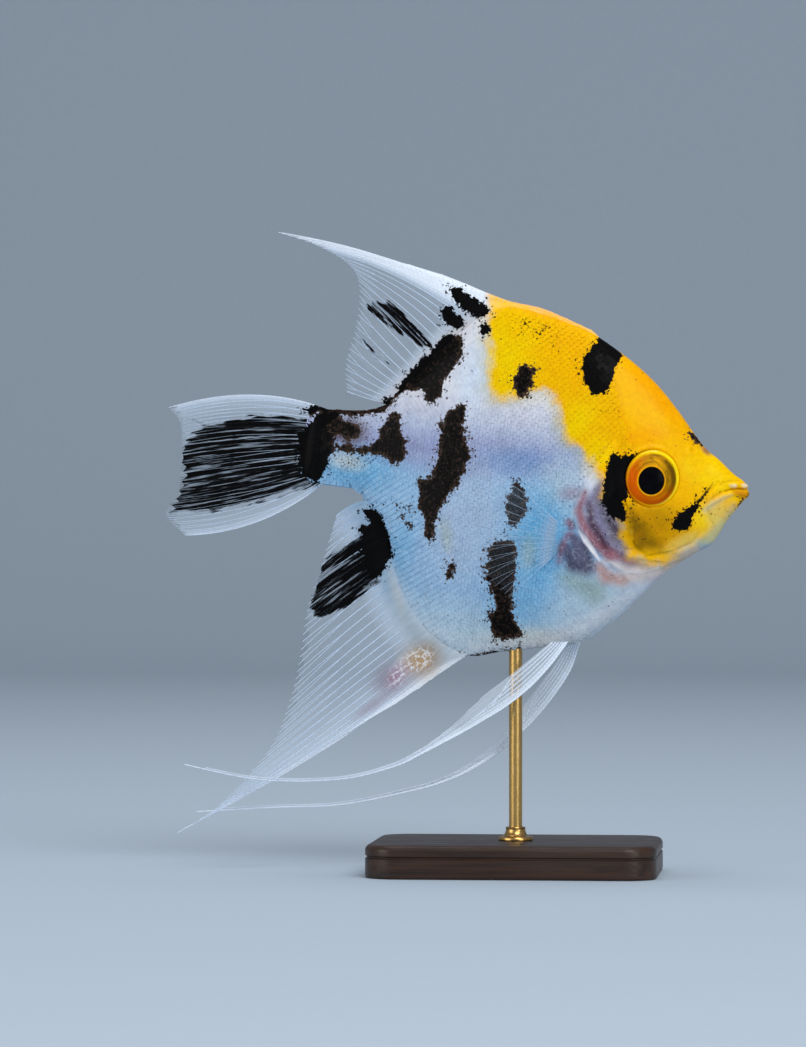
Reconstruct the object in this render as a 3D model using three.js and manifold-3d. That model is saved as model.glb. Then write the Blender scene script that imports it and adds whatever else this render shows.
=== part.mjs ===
// A freshwater angelfish, Pterophyllum scalare, as a still, life-size model on a display stand.
// Millimetres, +Z up. The fish looks along +X, its left side is +Y, and the stand's foot is at Z = 0.
// The fish is laid out in its own frame: x forward from the root of the tail fin, z up from the line
// between that root and the tip of the snout. Its group then pitches the nose down and lifts it.
import * as THREE from "three";
import { mergeVertices } from "three/addons/utils/BufferGeometryUtils.js";
import Module from "manifold-3d";

const wasm = await Module();
wasm.setup();

// ---- driving dimensions ----

const GAP = 0.25; // left between neighbouring solids
const PITCH = THREE.MathUtils.degToRad(7); // nose down
const SUPPORT = { x: 37, z: -33.6 }; // where the rod meets the belly, in the fish's frame
const TAIL_ROOT_HEIGHT = 78; // of the fish frame's origin above the floor

const BODY = { tail: -2.5, snout: 75.1, tip: 75.4, stations: 40, around: 22, snoutCrowding: 1.3 };
const GILL_COVER = { reach: 2.8 }; // how near the middle plane a cover comes
const EYE = { x: 57.9, z: 0.2, length: 4.85, height: 5.2, depth: 2.3, standsProud: 1.6 };
const FIN = { root: 1.6, rayHalf: 0.42, webHalf: 0.26, tipShare: 0.62, fringe: 0.03 };
const FOOT = { length: 52, width: 36, height: 6, corner: 5, bevel: 0.8, rodHole: 4.5 };
const ROD = { radius: 1.2, inBelly: 4, room: 20, sides: 20 };
const COLLAR = { radius: 3.1, height: 2.2 };
const WIDE = 20; // further out to a side than anything on the fish

const COLOURS = {
  pearl: { color: 0xc9d3e2, roughness: 0.38, metalness: 0.05 },
  yellow: { color: 0xf2b60c, roughness: 0.36, metalness: 0.03 },
  blush: { color: 0xc39aa2, roughness: 0.35, metalness: 0.05 },
  fin: { color: 0xb9cbe6, roughness: 0.4, metalness: 0 },
  tailFin: { color: 0x3a3a44, roughness: 0.45, metalness: 0 },
  iris: { color: 0xd9760d, roughness: 0.12, metalness: 0.1 },
  wood: { color: 0x3a241a, roughness: 0.42, metalness: 0 },
  brass: { color: 0xb9924c, roughness: 0.3, metalness: 0.9 },
};

// ---- curves ----

/** A smooth function through [x, value] knots, with no overshoot between them. */
function through(knots) {
  const rises = knots.slice(1).map(([x, v], i) => (v - knots[i][1]) / (x - knots[i][0]));
  const slopes = knots.map((_, i) => {
    const before = rises[Math.max(i - 1, 0)];
    const after = rises[Math.min(i, rises.length - 1)];
    return before * after <= 0 ? 0 : (2 * before * after) / (before + after);
  });
  return (x) => {
    const at = knots.findIndex(([right]) => x <= right);
    const i = THREE.MathUtils.clamp((at < 0 ? knots.length : at) - 1, 0, knots.length - 2);
    const width = knots[i + 1][0] - knots[i][0];
    const t = THREE.MathUtils.clamp((x - knots[i][0]) / width, 0, 1);
    const rise = 3 * t * t - 2 * t * t * t;
    const start = (t - 2 * t * t + t * t * t) * width * slopes[i];
    const end = (t * t * t - t * t) * width * slopes[i + 1];
    return knots[i][1] * (1 - rise) + knots[i + 1][1] * rise + start + end;
  };
}

/** Points [x, z] as vectors of the fish's plane. */
const plane = (points) => points.map(([x, z]) => new THREE.Vector2(x, z));

// ---- the body's form ----

const backLine = through([
  [-2.5, 5.6], [4, 6.2], [8.5, 7.9], [12, 12.3], [20, 22.4], [25, 27.0], [29, 28.2], [35, 27.4], [43, 25.2],
  [50, 21.7], [56, 17.6], [61, 12.8], [64.5, 9.0], [68, 6.1], [72.5, 2.8], [74.6, 1.2], [75.4, 0.1],
]);
const bellyLine = through([
  [-2.5, -8.2], [3.7, -8.2], [6, -9.2], [8.5, -12.6], [12, -18.6], [14, -23.2], [17, -28.6], [21.5, -33.0],
  [26, -35.2], [29, -35.6], [34, -34.3], [42, -32.4], [48, -30.8], [51, -28.9], [56, -23.8], [60, -18.8],
  [63, -15.6], [67, -12.3], [69.8, -10.2], [70.6, -8.8], [72, -5.9], [73.6, -2.9], [74.8, -1.2], [75.4, -0.2],
]);
const halfWidth = through([
  [-2.5, 0.9], [3, 1.5], [8, 2.3], [15, 3.5], [25, 4.9], [35, 5.9], [45, 6.5], [52, 6.4], [58, 5.7], [63, 4.6],
  [68, 3.3], [72, 2.2], [74.4, 1.3], [75.4, 0.6],
]);
const widestAt = through([
  [-2.5, -1.3], [6, -1.5], [15, -3], [25, -5], [40, -6.5], [50, -6], [58, -4], [65, -3], [70, -2], [75.4, -0.1],
]);
// How fast the flank closes towards the back and the belly: 1 is an ellipse, and more is a sharper keel.
const backKeel = through([[-2.5, 1], [10, 1.2], [30, 1.3], [50, 1.1], [62, 0.95], [75.4, 0.9]]);
const bellyKeel = through([[-2.5, 1], [12, 1.3], [26, 1.25], [38, 0.85], [50, 0.85], [62, 0.95], [75.4, 0.9]]);

/** The point of the body's section at x, at an angle from +Y towards +Z, grown outwards by `grow`. */
function sectionPoint(x, angle, grow = 0) {
  const up = Math.sin(angle);
  const across = Math.cos(angle);
  const middle = widestAt(x);
  const reach = up >= 0 ? backLine(x) - middle + grow : middle - bellyLine(x) + grow;
  const keel = up >= 0 ? backKeel(x) : bellyKeel(x);
  const y = Math.sign(across) * (halfWidth(x) + grow) * Math.abs(across) ** keel;
  return new THREE.Vector3(x, y, middle + up * reach);
}

/** How far the body's side stands from the middle plane at (x, z). */
function flank(x, z) {
  const middle = widestAt(x);
  const reach = z >= middle ? backLine(x) - middle : middle - bellyLine(x);
  const keel = z >= middle ? backKeel(x) : bellyKeel(x);
  const share = Math.min(Math.abs(z - middle) / reach, 1);
  return halfWidth(x) * Math.sqrt(1 - share * share) ** keel;
}

// ---- solids ----

/** A BufferGeometry from points and triangles. */
function geometryOf(points, triangles) {
  return new THREE.BufferGeometry()
    .setAttribute("position", new THREE.Float32BufferAttribute(points.flatMap((p) => p.toArray()), 3))
    .setIndex(triangles.flat());
}

/** A closed geometry as a solid, with its faces turned outwards. */
function solidOf(geometry) {
  const bare = geometry.clone();
  bare.deleteAttribute("normal");
  bare.deleteAttribute("uv");
  const merged = mergeVertices(bare, 1e-4);
  const vertProperties = merged.attributes.position.array;
  const triVerts = new Uint32Array(merged.index.array);
  const made = new wasm.Manifold(new wasm.Mesh({ numProp: 3, vertProperties, triVerts }));
  if (made.volume() >= 0) return made;
  triVerts.reverse();
  return new wasm.Manifold(new wasm.Mesh({ numProp: 3, vertProperties, triVerts }));
}

/** The solid's largest piece as a named mesh. Cuts can leave crumbs, which are dropped. */
function meshOf(name, solid, look) {
  const [largest] = solid.decompose().sort((a, b) => b.volume() - a.volume());
  const { vertProperties, triVerts } = largest.getMesh();
  const geometry = new THREE.BufferGeometry()
    .setAttribute("position", new THREE.BufferAttribute(new Float32Array(vertProperties), 3))
    .setIndex([...triVerts]);
  geometry.computeVertexNormals();
  const mesh = new THREE.Mesh(geometry, new THREE.MeshStandardMaterial(look));
  mesh.name = name;
  return mesh;
}

/** A closed tube of rings, with a cap at each end. */
function loft(rings, startCap, endCap) {
  const around = rings[0].length;
  const points = [...rings.flat(), startCap, endCap];
  const triangles = [];
  for (let j = 0; j < around; j++) {
    const next = (j + 1) % around;
    const lastRing = (rings.length - 1) * around;
    triangles.push([points.length - 2, next, j], [points.length - 1, lastRing + j, lastRing + next]);
    for (let i = 0; i + 1 < rings.length; i++) {
      const [a, b] = [i * around, (i + 1) * around];
      triangles.push([a + j, a + next, b + j], [a + next, b + next, b + j]);
    }
  }
  return solidOf(geometryOf(points, triangles));
}

/** The whole body from tail stalk to snout, grown outwards by `grow`. */
function bodySolid(grow = 0) {
  const rings = [];
  for (let i = 0; i <= BODY.stations; i++) {
    const share = 1 - (1 - i / BODY.stations) ** BODY.snoutCrowding;
    const x = BODY.tail + (BODY.snout - BODY.tail) * share;
    const ring = [];
    for (let j = 0; j < BODY.around; j++) ring.push(sectionPoint(x, (2 * Math.PI * j) / BODY.around, grow));
    rings.push(ring);
  }
  const startCap = new THREE.Vector3(BODY.tail - grow, 0, widestAt(BODY.tail));
  const endCap = new THREE.Vector3(BODY.tip + grow, 0, widestAt(BODY.tip));
  return loft(rings, startCap, endCap);
}

/** A slab through the fish with the outline `points` in its plane, from y = low to y = high. */
function slab(points, low = -WIDE, high = WIDE) {
  const options = { depth: high - low, bevelEnabled: false };
  const geometry = new THREE.ExtrudeGeometry(new THREE.Shape(points), options);
  return solidOf(geometry.rotateX(Math.PI / 2).translate(0, high, 0));
}

const shifted = (points, dx, dz) => points.map((p) => new THREE.Vector2(p.x + dx, p.y + dz));

/** An eyeball: a sphere flattened from side to side, square to the head's taper. */
function eyeSolid(side, grow = 0) {
  const taper = Math.atan((flank(EYE.x - 1, EYE.z) - flank(EYE.x + 1, EYE.z)) / 2);
  const y = flank(EYE.x, EYE.z) + EYE.standsProud - EYE.depth;
  const geometry = new THREE.SphereGeometry(1, 18, 10)
    .rotateX(Math.PI / 2)
    .scale(EYE.length + grow, EYE.depth + grow, EYE.height + grow)
    .rotateZ(-side * taper)
    .translate(EYE.x, side * y, EYE.z);
  return solidOf(geometry);
}

// ---- fins ----

/** A thick sheet: a grid of points with half a thickness at each, closed round its rim. */
function sheetSolid(grid, half) {
  const [columns, rows] = [grid.length, grid[0].length];
  const step = (i, j) => grid[THREE.MathUtils.clamp(i, 0, columns - 1)][THREE.MathUtils.clamp(j, 0, rows - 1)];
  const points = [1, -1].flatMap((face) =>
    grid.flatMap((column, i) =>
      column.map((p, j) => {
        const along = step(i, j + 1).clone().sub(step(i, j - 1));
        const across = step(i + 1, j).clone().sub(step(i - 1, j));
        const out = new THREE.Vector3().crossVectors(along, across).normalize();
        return p.clone().addScaledVector(out, face * half(i, j));
      }),
    ),
  );
  const at = (i, j, back) => (back ? columns * rows : 0) + i * rows + j;
  const triangles = [];
  for (let i = 0; i + 1 < columns; i++) {
    for (let j = 0; j + 1 < rows; j++) {
      triangles.push([at(i, j), at(i, j + 1), at(i + 1, j + 1)], [at(i, j), at(i + 1, j + 1), at(i + 1, j)]);
      triangles.push([at(i, j, true), at(i + 1, j + 1, true), at(i, j + 1, true)]);
      triangles.push([at(i, j, true), at(i + 1, j, true), at(i + 1, j + 1, true)]);
    }
  }
  const rim = [];
  for (let i = 0; i < columns; i++) rim.push([i, 0]);
  for (let j = 1; j < rows; j++) rim.push([columns - 1, j]);
  for (let i = columns - 2; i >= 0; i--) rim.push([i, rows - 1]);
  for (let j = rows - 2; j > 0; j--) rim.push([0, j]);
  rim.forEach(([i, j], k) => {
    const [m, n] = rim[(k + 1) % rim.length];
    triangles.push([at(i, j), at(m, n), at(m, n, true)], [at(i, j), at(m, n, true), at(i, j, true)]);
  });
  return solidOf(geometryOf(points, triangles));
}

/**
 * A fin of `count` rays joined by web. Each key ray is [base, bow, tip], the three points of a bent line,
 * and the rays between the keys are blended from them. `place` turns a point of the fish's plane, with how
 * far it lies along its ray, into space.
 */
function rayFin({ keys, count, steps, place, thickness = 1 }) {
  const [bases, bows, tips] = [0, 1, 2].map((k) => new THREE.SplineCurve(plane(keys.map((key) => key[k]))));
  const columns = 2 * count + 1;
  const isRay = (i) => i % 2 === 0;
  const grid = [];
  for (let i = 0; i < columns; i++) {
    const share = i / (columns - 1);
    const base = bases.getPoint(share);
    const tip = tips.getPoint(share);
    if (!isRay(i)) tip.lerp(base, FIN.fringe);
    const ray = new THREE.QuadraticBezierCurve(base, bows.getPoint(share), tip);
    const root = base.clone().addScaledVector(ray.getTangent(0), -FIN.root);
    grid.push([place(root, 0), ...ray.getPoints(steps).map((p, j) => place(p, j / steps))]);
  }
  const half = (i, j) => {
    const thick = isRay(i) ? FIN.rayHalf : FIN.webHalf;
    return Math.max(thick * thickness * THREE.MathUtils.lerp(1, FIN.tipShare, j / (steps + 1)), FIN.webHalf);
  };
  return sheetSolid(grid, half);
}

const DORSAL_KEYS = [
  [[47.0, 22.6], [45.6, 23.9], [43.4, 25.5]],
  [[39.0, 26.2], [37.4, 27.0], [34.6, 28.2]],
  [[32.0, 27.6], [29.8, 28.5], [26.4, 29.2]],
  [[28.2, 27.9], [22.0, 30.2], [12.5, 32.8]],
  [[25.6, 27.0], [8.0, 35.4], [-14.2, 36.3]],
  [[23.6, 25.2], [8.5, 33.4], [-8.2, 34.9]],
  [[19.6, 21.8], [9.5, 29.6], [-2.2, 32.4]],
  [[15.6, 17.2], [8.6, 23.4], [0.6, 29.0]],
  [[12.4, 12.8], [7.2, 16.8], [1.7, 22.4]],
  [[9.8, 9.4], [5.4, 11.8], [0.2, 16.2]],
  [[7.8, 7.4], [4.4, 8.0], [0.2, 10.6]],
];
const ANAL_KEYS = [
  [[28.9, -34.9], [26.6, -36.9], [23.8, -39.4]],
  [[27.6, -35.0], [21.8, -40.0], [14.6, -47.4]],
  [[26.0, -34.8], [8.4, -55.0], [-18.5, -72.8]],
  [[23.0, -33.6], [8.2, -50.2], [-13.4, -68.6]],
  [[20.2, -31.8], [9.5, -41.5], [-5.6, -57.6]],
  [[17.0, -28.2], [8.6, -36.0], [-2.8, -49.2]],
  [[14.4, -23.8], [7.6, -29.4], [-1.6, -40.2]],
  [[12.2, -18.8], [6.6, -22.8], [-1.4, -31.0]],
  [[9.4, -13.8], [4.8, -16.0], [0.4, -21.4]],
  [[7.0, -10.0], [4.4, -10.4], [1.8, -13.4]],
];
const CAUDAL_KEYS = [
  [[-1.2, 5.2], [-15.5, 9.2], [-31.2, 2.4]],
  [[-1.0, 3.4], [-14.0, 5.4], [-28.9, 0.2]],
  [[-0.8, 1.0], [-13.5, 0.9], [-27.0, -3.4]],
  [[-0.8, -1.6], [-13.5, -4.2], [-26.4, -8.0]],
  [[-0.8, -4.0], [-13.5, -8.8], [-26.3, -12.6]],
  [[-1.0, -6.2], [-13.5, -13.8], [-28.3, -16.8]],
  [[-1.2, -7.8], [-11.6, -18.4], [-25.4, -20.3]],
];
// Seen from the side, with x back from the fin's root and z up from it.
const PECTORAL_KEYS = [
  [[0, 3.4], [-7.5, 8.8], [-15.5, 11.2]],
  [[-0.3, 1.8], [-9.0, 4.8], [-17.6, 5.0]],
  [[-0.6, 0], [-8.5, 0.4], [-16.8, -1.6]],
  [[-0.9, -1.8], [-7.2, -3.6], [-13.4, -7.6]],
  [[-1.2, -3.4], [-5.0, -7.0], [-8.2, -11.2]],
];
const PECTORAL = { x: 43.4, z: -12.8, spread: THREE.MathUtils.degToRad(13), sunk: 0.5, cup: 0.012 };

/** The middle fins lie near the fish's middle plane, and sway a little out of it towards their tips. */
const middleFin = (sway, wave) => (p, along) =>
  new THREE.Vector3(p.x, sway * along * along + wave * along * Math.sin(p.y / 5), p.y);

/** A pectoral fin stands off the flank, hinged forward at the gill opening. */
function pectoralPlace(side) {
  const y = flank(PECTORAL.x, PECTORAL.z) - PECTORAL.sunk;
  return (p) => {
    const back = -p.x;
    const off = back * Math.sin(PECTORAL.spread) + PECTORAL.cup * back * back;
    return new THREE.Vector3(PECTORAL.x + p.x * Math.cos(PECTORAL.spread), side * (y + off), PECTORAL.z + p.y);
  };
}

// A pelvic fin is a narrow blade that runs out into one long thread: [x, z, width] down its middle.
const PELVIC_RIGHT = [
  [45.8, -28.8, 2.0], [44.9, -30.9, 2.3], [42.3, -34.6, 3.3], [38.9, -38.7, 4.0], [35.5, -42.1, 4.1],
  [32.0, -45.3, 3.5], [28.9, -48.2, 2.6], [25.7, -50.9, 1.8], [22.5, -53.4, 1.3], [17.6, -56.6, 1.0],
  [8.3, -60.1, 0.75], [-6.0, -62.0, 0.65], [-19.8, -61.1, 0.5],
];
const PELVIC_LEFT = [
  [47.5, -28.6, 1.8], [47.0, -31.2, 2.1], [45.6, -35.6, 3.0], [43.0, -40.5, 3.3], [40.3, -44.9, 3.1],
  [37.7, -48.6, 2.4], [35.0, -51.9, 2.0], [31.5, -55.1, 1.6], [27.6, -57.8, 1.3], [22.0, -60.5, 1.0],
  [8.9, -65.0, 0.7], [-3.6, -67.2, 0.6], [-17.5, -69.8, 0.5],
];
const PELVIC = { inner: 1.7, outer: 4.4, tipOut: 3.4, steps: 24, half: 0.32 };

/** One pelvic fin, spread sideways from the belly on the side given. */
function pelvicSolid(stations, side) {
  const path = new THREE.SplineCurve(plane(stations));
  const width = through(stations.map(([, , w], i) => [i / (stations.length - 1), w]));
  const outwards = through([[0, PELVIC.inner], [0.45, PELVIC.outer], [1, PELVIC.tipOut]]);
  const crown = [-0.5, -0.17, 0.17, 0.5];
  const grid = crown.map((lean) => {
    const column = [];
    for (let j = 0; j <= PELVIC.steps; j++) {
      const t = j / PELVIC.steps;
      const p = path.getPoint(t);
      const ahead = path.getTangent(t);
      const w = width(t) * lean;
      column.push(new THREE.Vector3(p.x - ahead.y * w, side * outwards(t), p.y + ahead.x * w));
    }
    return column;
  });
  return sheetSolid(grid, (i) => PELVIC.half * (i === 0 || i === crown.length - 1 ? 0.85 : 1.15));
}

// ---- where the body is divided ----

const gillKnots = plane([
  [44.2, 27.5], [46.6, 14], [47.8, 4], [46.9, -4], [45.3, -9.2], [46.6, -12], [50, -15.4], [54.8, -18.2],
  [62, -19.4],
]);
const gillLine = new THREE.SplineCurve(gillKnots).getPoints(18);
const headOutline = [...gillLine, ...plane([[80, -24], [80, 30], [44.2, 30]])];
const coverOutline = plane([
  [40, 6.5], [50.2, 6.5], [52.4, 2.5], [53.4, -3.5], [54.6, -8.5], [57, -13], [61, -16.4], [61, -24], [40, -24],
]);
const tailOutline = plane([[-10, 20], [6.4, 20], [6.0, -20], [-10, -20]]);
const mouthLine = plane([[78, 0.5], [74.2, 0.25], [70, -0.35], [68, -1.5]]);
const upperJawOutline = [...mouthLine, ...plane([[67.4, -0.6], [68.6, 1.3], [71.2, 3.2], [72, 6], [78, 6]])];
const chinOutline = plane([[66.8, -4.4], [68.6, -9.4], [69, -14], [78, -14]]);
const lowerJawOutline = [...shifted(mouthLine, 0, -GAP), ...chinOutline];

/** The body's solids by name, parted with thin cuts. */
function bodyParts() {
  const body = bodySolid();
  const front = body.intersect(slab(headOutline));
  const rear = body.subtract(slab(shifted(headOutline, -GAP, -GAP)));
  const tailStalk = rear.intersect(slab(tailOutline));
  const trunk = rear.subtract(slab(shifted(tailOutline, GAP, 0))).subtract(socketSolid());
  const coverRoom = shifted(coverOutline, GAP, GAP);
  let head = front
    .subtract(slab(coverRoom, GILL_COVER.reach - GAP, WIDE))
    .subtract(slab(coverRoom, -WIDE, GAP - GILL_COVER.reach));
  for (const side of [1, -1]) head = head.subtract(eyeSolid(side, GAP));
  const upperJaw = head.intersect(slab(upperJawOutline));
  const lowerJaw = head.intersect(slab(lowerJawOutline));
  head = head.subtract(slab(grown(upperJawOutline))).subtract(slab(grown(lowerJawOutline)));
  return {
    head,
    upper_jaw: upperJaw,
    lower_jaw: lowerJaw,
    gill_cover_left: front.intersect(slab(coverOutline, GILL_COVER.reach, WIDE)),
    gill_cover_right: front.intersect(slab(coverOutline, -WIDE, -GILL_COVER.reach)),
    trunk,
    tail_stalk: tailStalk,
  };
}

/** An outline moved out from its own middle by the gap. */
function grown(points) {
  const middle = points.reduce((sum, p) => sum.add(p), new THREE.Vector2()).divideScalar(points.length);
  return points.map((p) => p.clone().add(p.clone().sub(middle).normalize().multiplyScalar(GAP)));
}

// ---- the stand ----

/** A point of the fish's frame, in the part's frame. */
function placed(x, z) {
  return new THREE.Vector3(x, 0, z).applyMatrix4(fish.matrix);
}

const fish = new THREE.Group();
fish.rotation.y = PITCH;
fish.updateMatrix();
const supportOffset = placed(SUPPORT.x, SUPPORT.z);
fish.position.set(-supportOffset.x, 0, TAIL_ROOT_HEIGHT);
fish.updateMatrix();
const supportHeight = TAIL_ROOT_HEIGHT + supportOffset.z;

/** An upright cylinder from z = low to z = high on the stand's axis. */
function post(radius, low, high) {
  const geometry = new THREE.CylinderGeometry(radius, radius, high - low, ROD.sides);
  return solidOf(geometry.rotateX(Math.PI / 2).translate(0, 0, (low + high) / 2));
}

/** The room for the rod's end in the belly, in the fish's frame. */
function socketSolid() {
  const top = supportHeight + ROD.inBelly + GAP;
  const room = new THREE.CylinderGeometry(ROD.radius + GAP, ROD.radius + GAP, ROD.room, ROD.sides);
  room.rotateX(Math.PI / 2).translate(0, 0, top - ROD.room / 2);
  return solidOf(room.applyMatrix4(fish.matrix.clone().invert()));
}

/** The foot: a rounded plate with a small bevel round its edges, and a hole for the rod. */
function footSolid() {
  const [x, y, r] = [FOOT.length / 2 - FOOT.bevel, FOOT.width / 2 - FOOT.bevel, FOOT.corner];
  const outline = new THREE.Shape();
  outline.absarc(x - r, y - r, r, 0, Math.PI / 2);
  outline.absarc(r - x, y - r, r, Math.PI / 2, Math.PI);
  outline.absarc(r - x, r - y, r, Math.PI, 1.5 * Math.PI);
  outline.absarc(x - r, r - y, r, 1.5 * Math.PI, 2 * Math.PI);
  const geometry = new THREE.ExtrudeGeometry(outline, {
    depth: FOOT.height - 2 * FOOT.bevel,
    bevelThickness: FOOT.bevel,
    bevelSize: FOOT.bevel,
    bevelSegments: 1,
    curveSegments: 4,
  });
  const hole = post(ROD.radius + GAP, FOOT.height - FOOT.rodHole, FOOT.height + 1);
  return solidOf(geometry.translate(0, 0, FOOT.bevel)).subtract(hole);
}

/** A ring round the rod, lying on the foot. */
function collarSolid() {
  const [low, high] = [FOOT.height + GAP, FOOT.height + GAP + COLLAR.height];
  return post(COLLAR.radius, low, high).subtract(post(ROD.radius + GAP, low - 1, high + 1));
}

// ---- the model ----

const parts = bodyParts();
const clearBody = bodySolid(GAP);
const bodyLooks = {
  head: COLOURS.yellow,
  upper_jaw: COLOURS.yellow,
  lower_jaw: COLOURS.yellow,
  gill_cover_left: COLOURS.blush,
  gill_cover_right: COLOURS.blush,
  trunk: COLOURS.pearl,
  tail_stalk: COLOURS.pearl,
};
for (const [name, look] of Object.entries(bodyLooks)) fish.add(meshOf(name, parts[name], look));

const fins = {
  dorsal_fin: [rayFin({ keys: DORSAL_KEYS, count: 15, steps: 5, place: middleFin(0.8, 0.3) }), COLOURS.fin],
  anal_fin: [rayFin({ keys: ANAL_KEYS, count: 15, steps: 5, place: middleFin(-0.6, 0.3) }), COLOURS.fin],
  tail_fin: [rayFin({ keys: CAUDAL_KEYS, count: 11, steps: 4, place: middleFin(1.2, 0.4) }), COLOURS.tailFin],
};
for (const [name, [solid, look]] of Object.entries(fins)) {
  fish.add(meshOf(name, solid.subtract(clearBody), look));
}

for (const [name, side, stations] of [["left", 1, PELVIC_LEFT], ["right", -1, PELVIC_RIGHT]]) {
  const place = pectoralPlace(side);
  const pectoral = rayFin({ keys: PECTORAL_KEYS, count: 7, steps: 4, place, thickness: 0.8 });
  fish.add(meshOf("pectoral_fin_" + name, pectoral.subtract(clearBody), COLOURS.fin));
  fish.add(meshOf("pelvic_fin_" + name, pelvicSolid(stations, side).subtract(clearBody), COLOURS.fin));
  fish.add(meshOf("eye_" + name, eyeSolid(side), COLOURS.iris));
}

const stand = new THREE.Group();
const rod = post(ROD.radius, FOOT.height - FOOT.rodHole + GAP, supportHeight + ROD.inBelly);
stand.add(meshOf("stand_foot", footSolid(), COLOURS.wood));
stand.add(meshOf("stand_collar", collarSolid(), COLOURS.brass));
stand.add(meshOf("stand_rod", rod, COLOURS.brass));

const model = new THREE.Group();
model.add(fish, stand);

export default model;
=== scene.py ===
"""A freshwater angelfish, Pterophyllum scalare, as a still, life-size model on a display stand.

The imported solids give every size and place. This script dresses them: one skin over the body, a coat of
scales, ray fins with their web, layered eyes and the finished stand. The fish is laid out in its own
frame, in millimetres: x forward from the root of the tail fin, z up from the line between that root and
the tip of the snout, y to its left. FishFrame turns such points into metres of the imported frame.
"""

import logging
import math
from dataclasses import dataclass
from enum import Enum

import bpy
import numpy as np
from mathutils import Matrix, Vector


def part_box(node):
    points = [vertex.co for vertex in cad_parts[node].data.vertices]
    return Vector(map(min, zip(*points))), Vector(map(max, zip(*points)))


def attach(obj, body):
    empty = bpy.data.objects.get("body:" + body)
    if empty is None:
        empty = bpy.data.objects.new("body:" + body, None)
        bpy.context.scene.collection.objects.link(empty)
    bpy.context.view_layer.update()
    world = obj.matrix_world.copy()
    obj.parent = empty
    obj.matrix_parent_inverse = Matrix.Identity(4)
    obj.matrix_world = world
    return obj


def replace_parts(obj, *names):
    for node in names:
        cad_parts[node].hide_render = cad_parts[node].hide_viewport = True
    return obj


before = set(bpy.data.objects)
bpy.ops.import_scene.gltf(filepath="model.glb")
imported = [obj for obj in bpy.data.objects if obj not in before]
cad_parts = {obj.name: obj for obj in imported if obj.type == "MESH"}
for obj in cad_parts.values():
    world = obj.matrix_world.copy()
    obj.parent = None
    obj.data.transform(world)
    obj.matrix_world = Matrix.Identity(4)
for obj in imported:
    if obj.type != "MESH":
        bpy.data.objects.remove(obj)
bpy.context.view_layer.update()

MM = 0.001
BODY_ROW = "root"
Array = np.ndarray
Knots = tuple[tuple[float, ...], ...]
Carried = dict[str, Array]
Profile = list[tuple[float, float]]
Material = bpy.types.Material
Socket = bpy.types.NodeSocket
TINY = 1e-9
logging.basicConfig(level=logging.INFO, format="%(message)s")
LOG = logging.getLogger("angelfish")


class Side(Enum):
    """A side of the fish, by the sign of its y."""

    LEFT = 1
    RIGHT = -1

    @property
    def word(self) -> str:
        """The side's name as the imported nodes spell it."""
        return self.name.lower()


class Tint(Enum):
    """The fish's and the stand's colours, as six hex digits each."""

    CHALK = "dcdade"
    PEARL = "b0b7ce"
    LILAC = "9096ba"
    ICE = "8eb2d1"
    SKY = "53a1cd"
    SLATE = "6d8fb8"
    MIST = "b2c6d2"
    BONE = "cfcfc4"
    BLUSH = "8c5a64"
    ROSE = "7e4250"
    MAROON = "3c1220"
    SMOKE = "4a4158"
    GILL = "7f7690"
    OLIVE_STAIN = "a3ab93"
    LEMON = "ffdd00"
    AMBER = "ffc600"
    MARIGOLD = "ffae00"
    STRAW = "ddd07c"
    MUSTARD = "c08f04"
    OLIVE = "6d5204"
    TAN = "b08a52"
    RUST = "96788a"
    INK = "060607"
    UMBER = "3f3027"
    BARK = "4a342c"
    FIN_MILK = "eaf1fa"
    FIN_BLUE = "9fc4ea"
    IRIS_ORANGE = "d85c00"
    IRIS_RUST = "c45400"
    IRIS_BROWN = "7c5204"
    IRIS_GOLD = "e8a408"
    IRIS_OLIVE = "5e4204"
    HAZE = "686274"
    FROST = "cdd9ea"
    JAW = "c4cab0"
    CREAM = "c6b9b5"
    SALMON = "b98a7c"
    LIP = "c9860e"
    LIP_BROWN = "6e4818"
    REED = "8ca29e"
    WALNUT = "3b2416"
    WALNUT_DEEP = "1d110b"
    BRASS = "c39a52"
    STUDIO = "b0bfce"

    @property
    def rgb(self) -> Array:
        """The colour as three numbers of linear light."""
        coded = np.array([int(self.value[i : i + 2], 16) for i in (0, 2, 4)]) / 255
        return np.where(coded <= 0.04045, coded / 12.92, ((coded + 0.055) / 1.055) ** 2.4)

    @property
    def rgba(self) -> tuple[float, ...]:
        """The colour for a shader's socket."""
        return (*self.rgb, 1.0)


# ---- curves and distances ----


@dataclass(frozen=True)
class SmoothCurve:
    """A smooth function through knots of (place, value), with no overshoot between them."""

    knots: Knots

    def __call__(self, at: Array | float) -> Array:
        """The curve's values.

        Args:
            at: the places to read.

        Returns:
            One value for each place, held at the end values past the ends.
        """
        places, values = np.array(self.knots, float).T
        rises = np.diff(values) / np.diff(places)
        before = np.concatenate([rises[:1], rises])
        after = np.concatenate([rises, rises[-1:]])
        together = before * after
        slopes = np.where(together > 0, 2 * together / np.where(together > 0, before + after, 1), 0)
        i = np.clip(np.searchsorted(places, at, side="left") - 1, 0, len(places) - 2)
        width = places[i + 1] - places[i]
        t = np.clip((at - places[i]) / width, 0, 1)
        rise = 3 * t**2 - 2 * t**3
        bend = (t - 2 * t**2 + t**3) * slopes[i] + (t**3 - t**2) * slopes[i + 1]
        return values[i] * (1 - rise) + values[i + 1] * rise + bend * width


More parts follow.
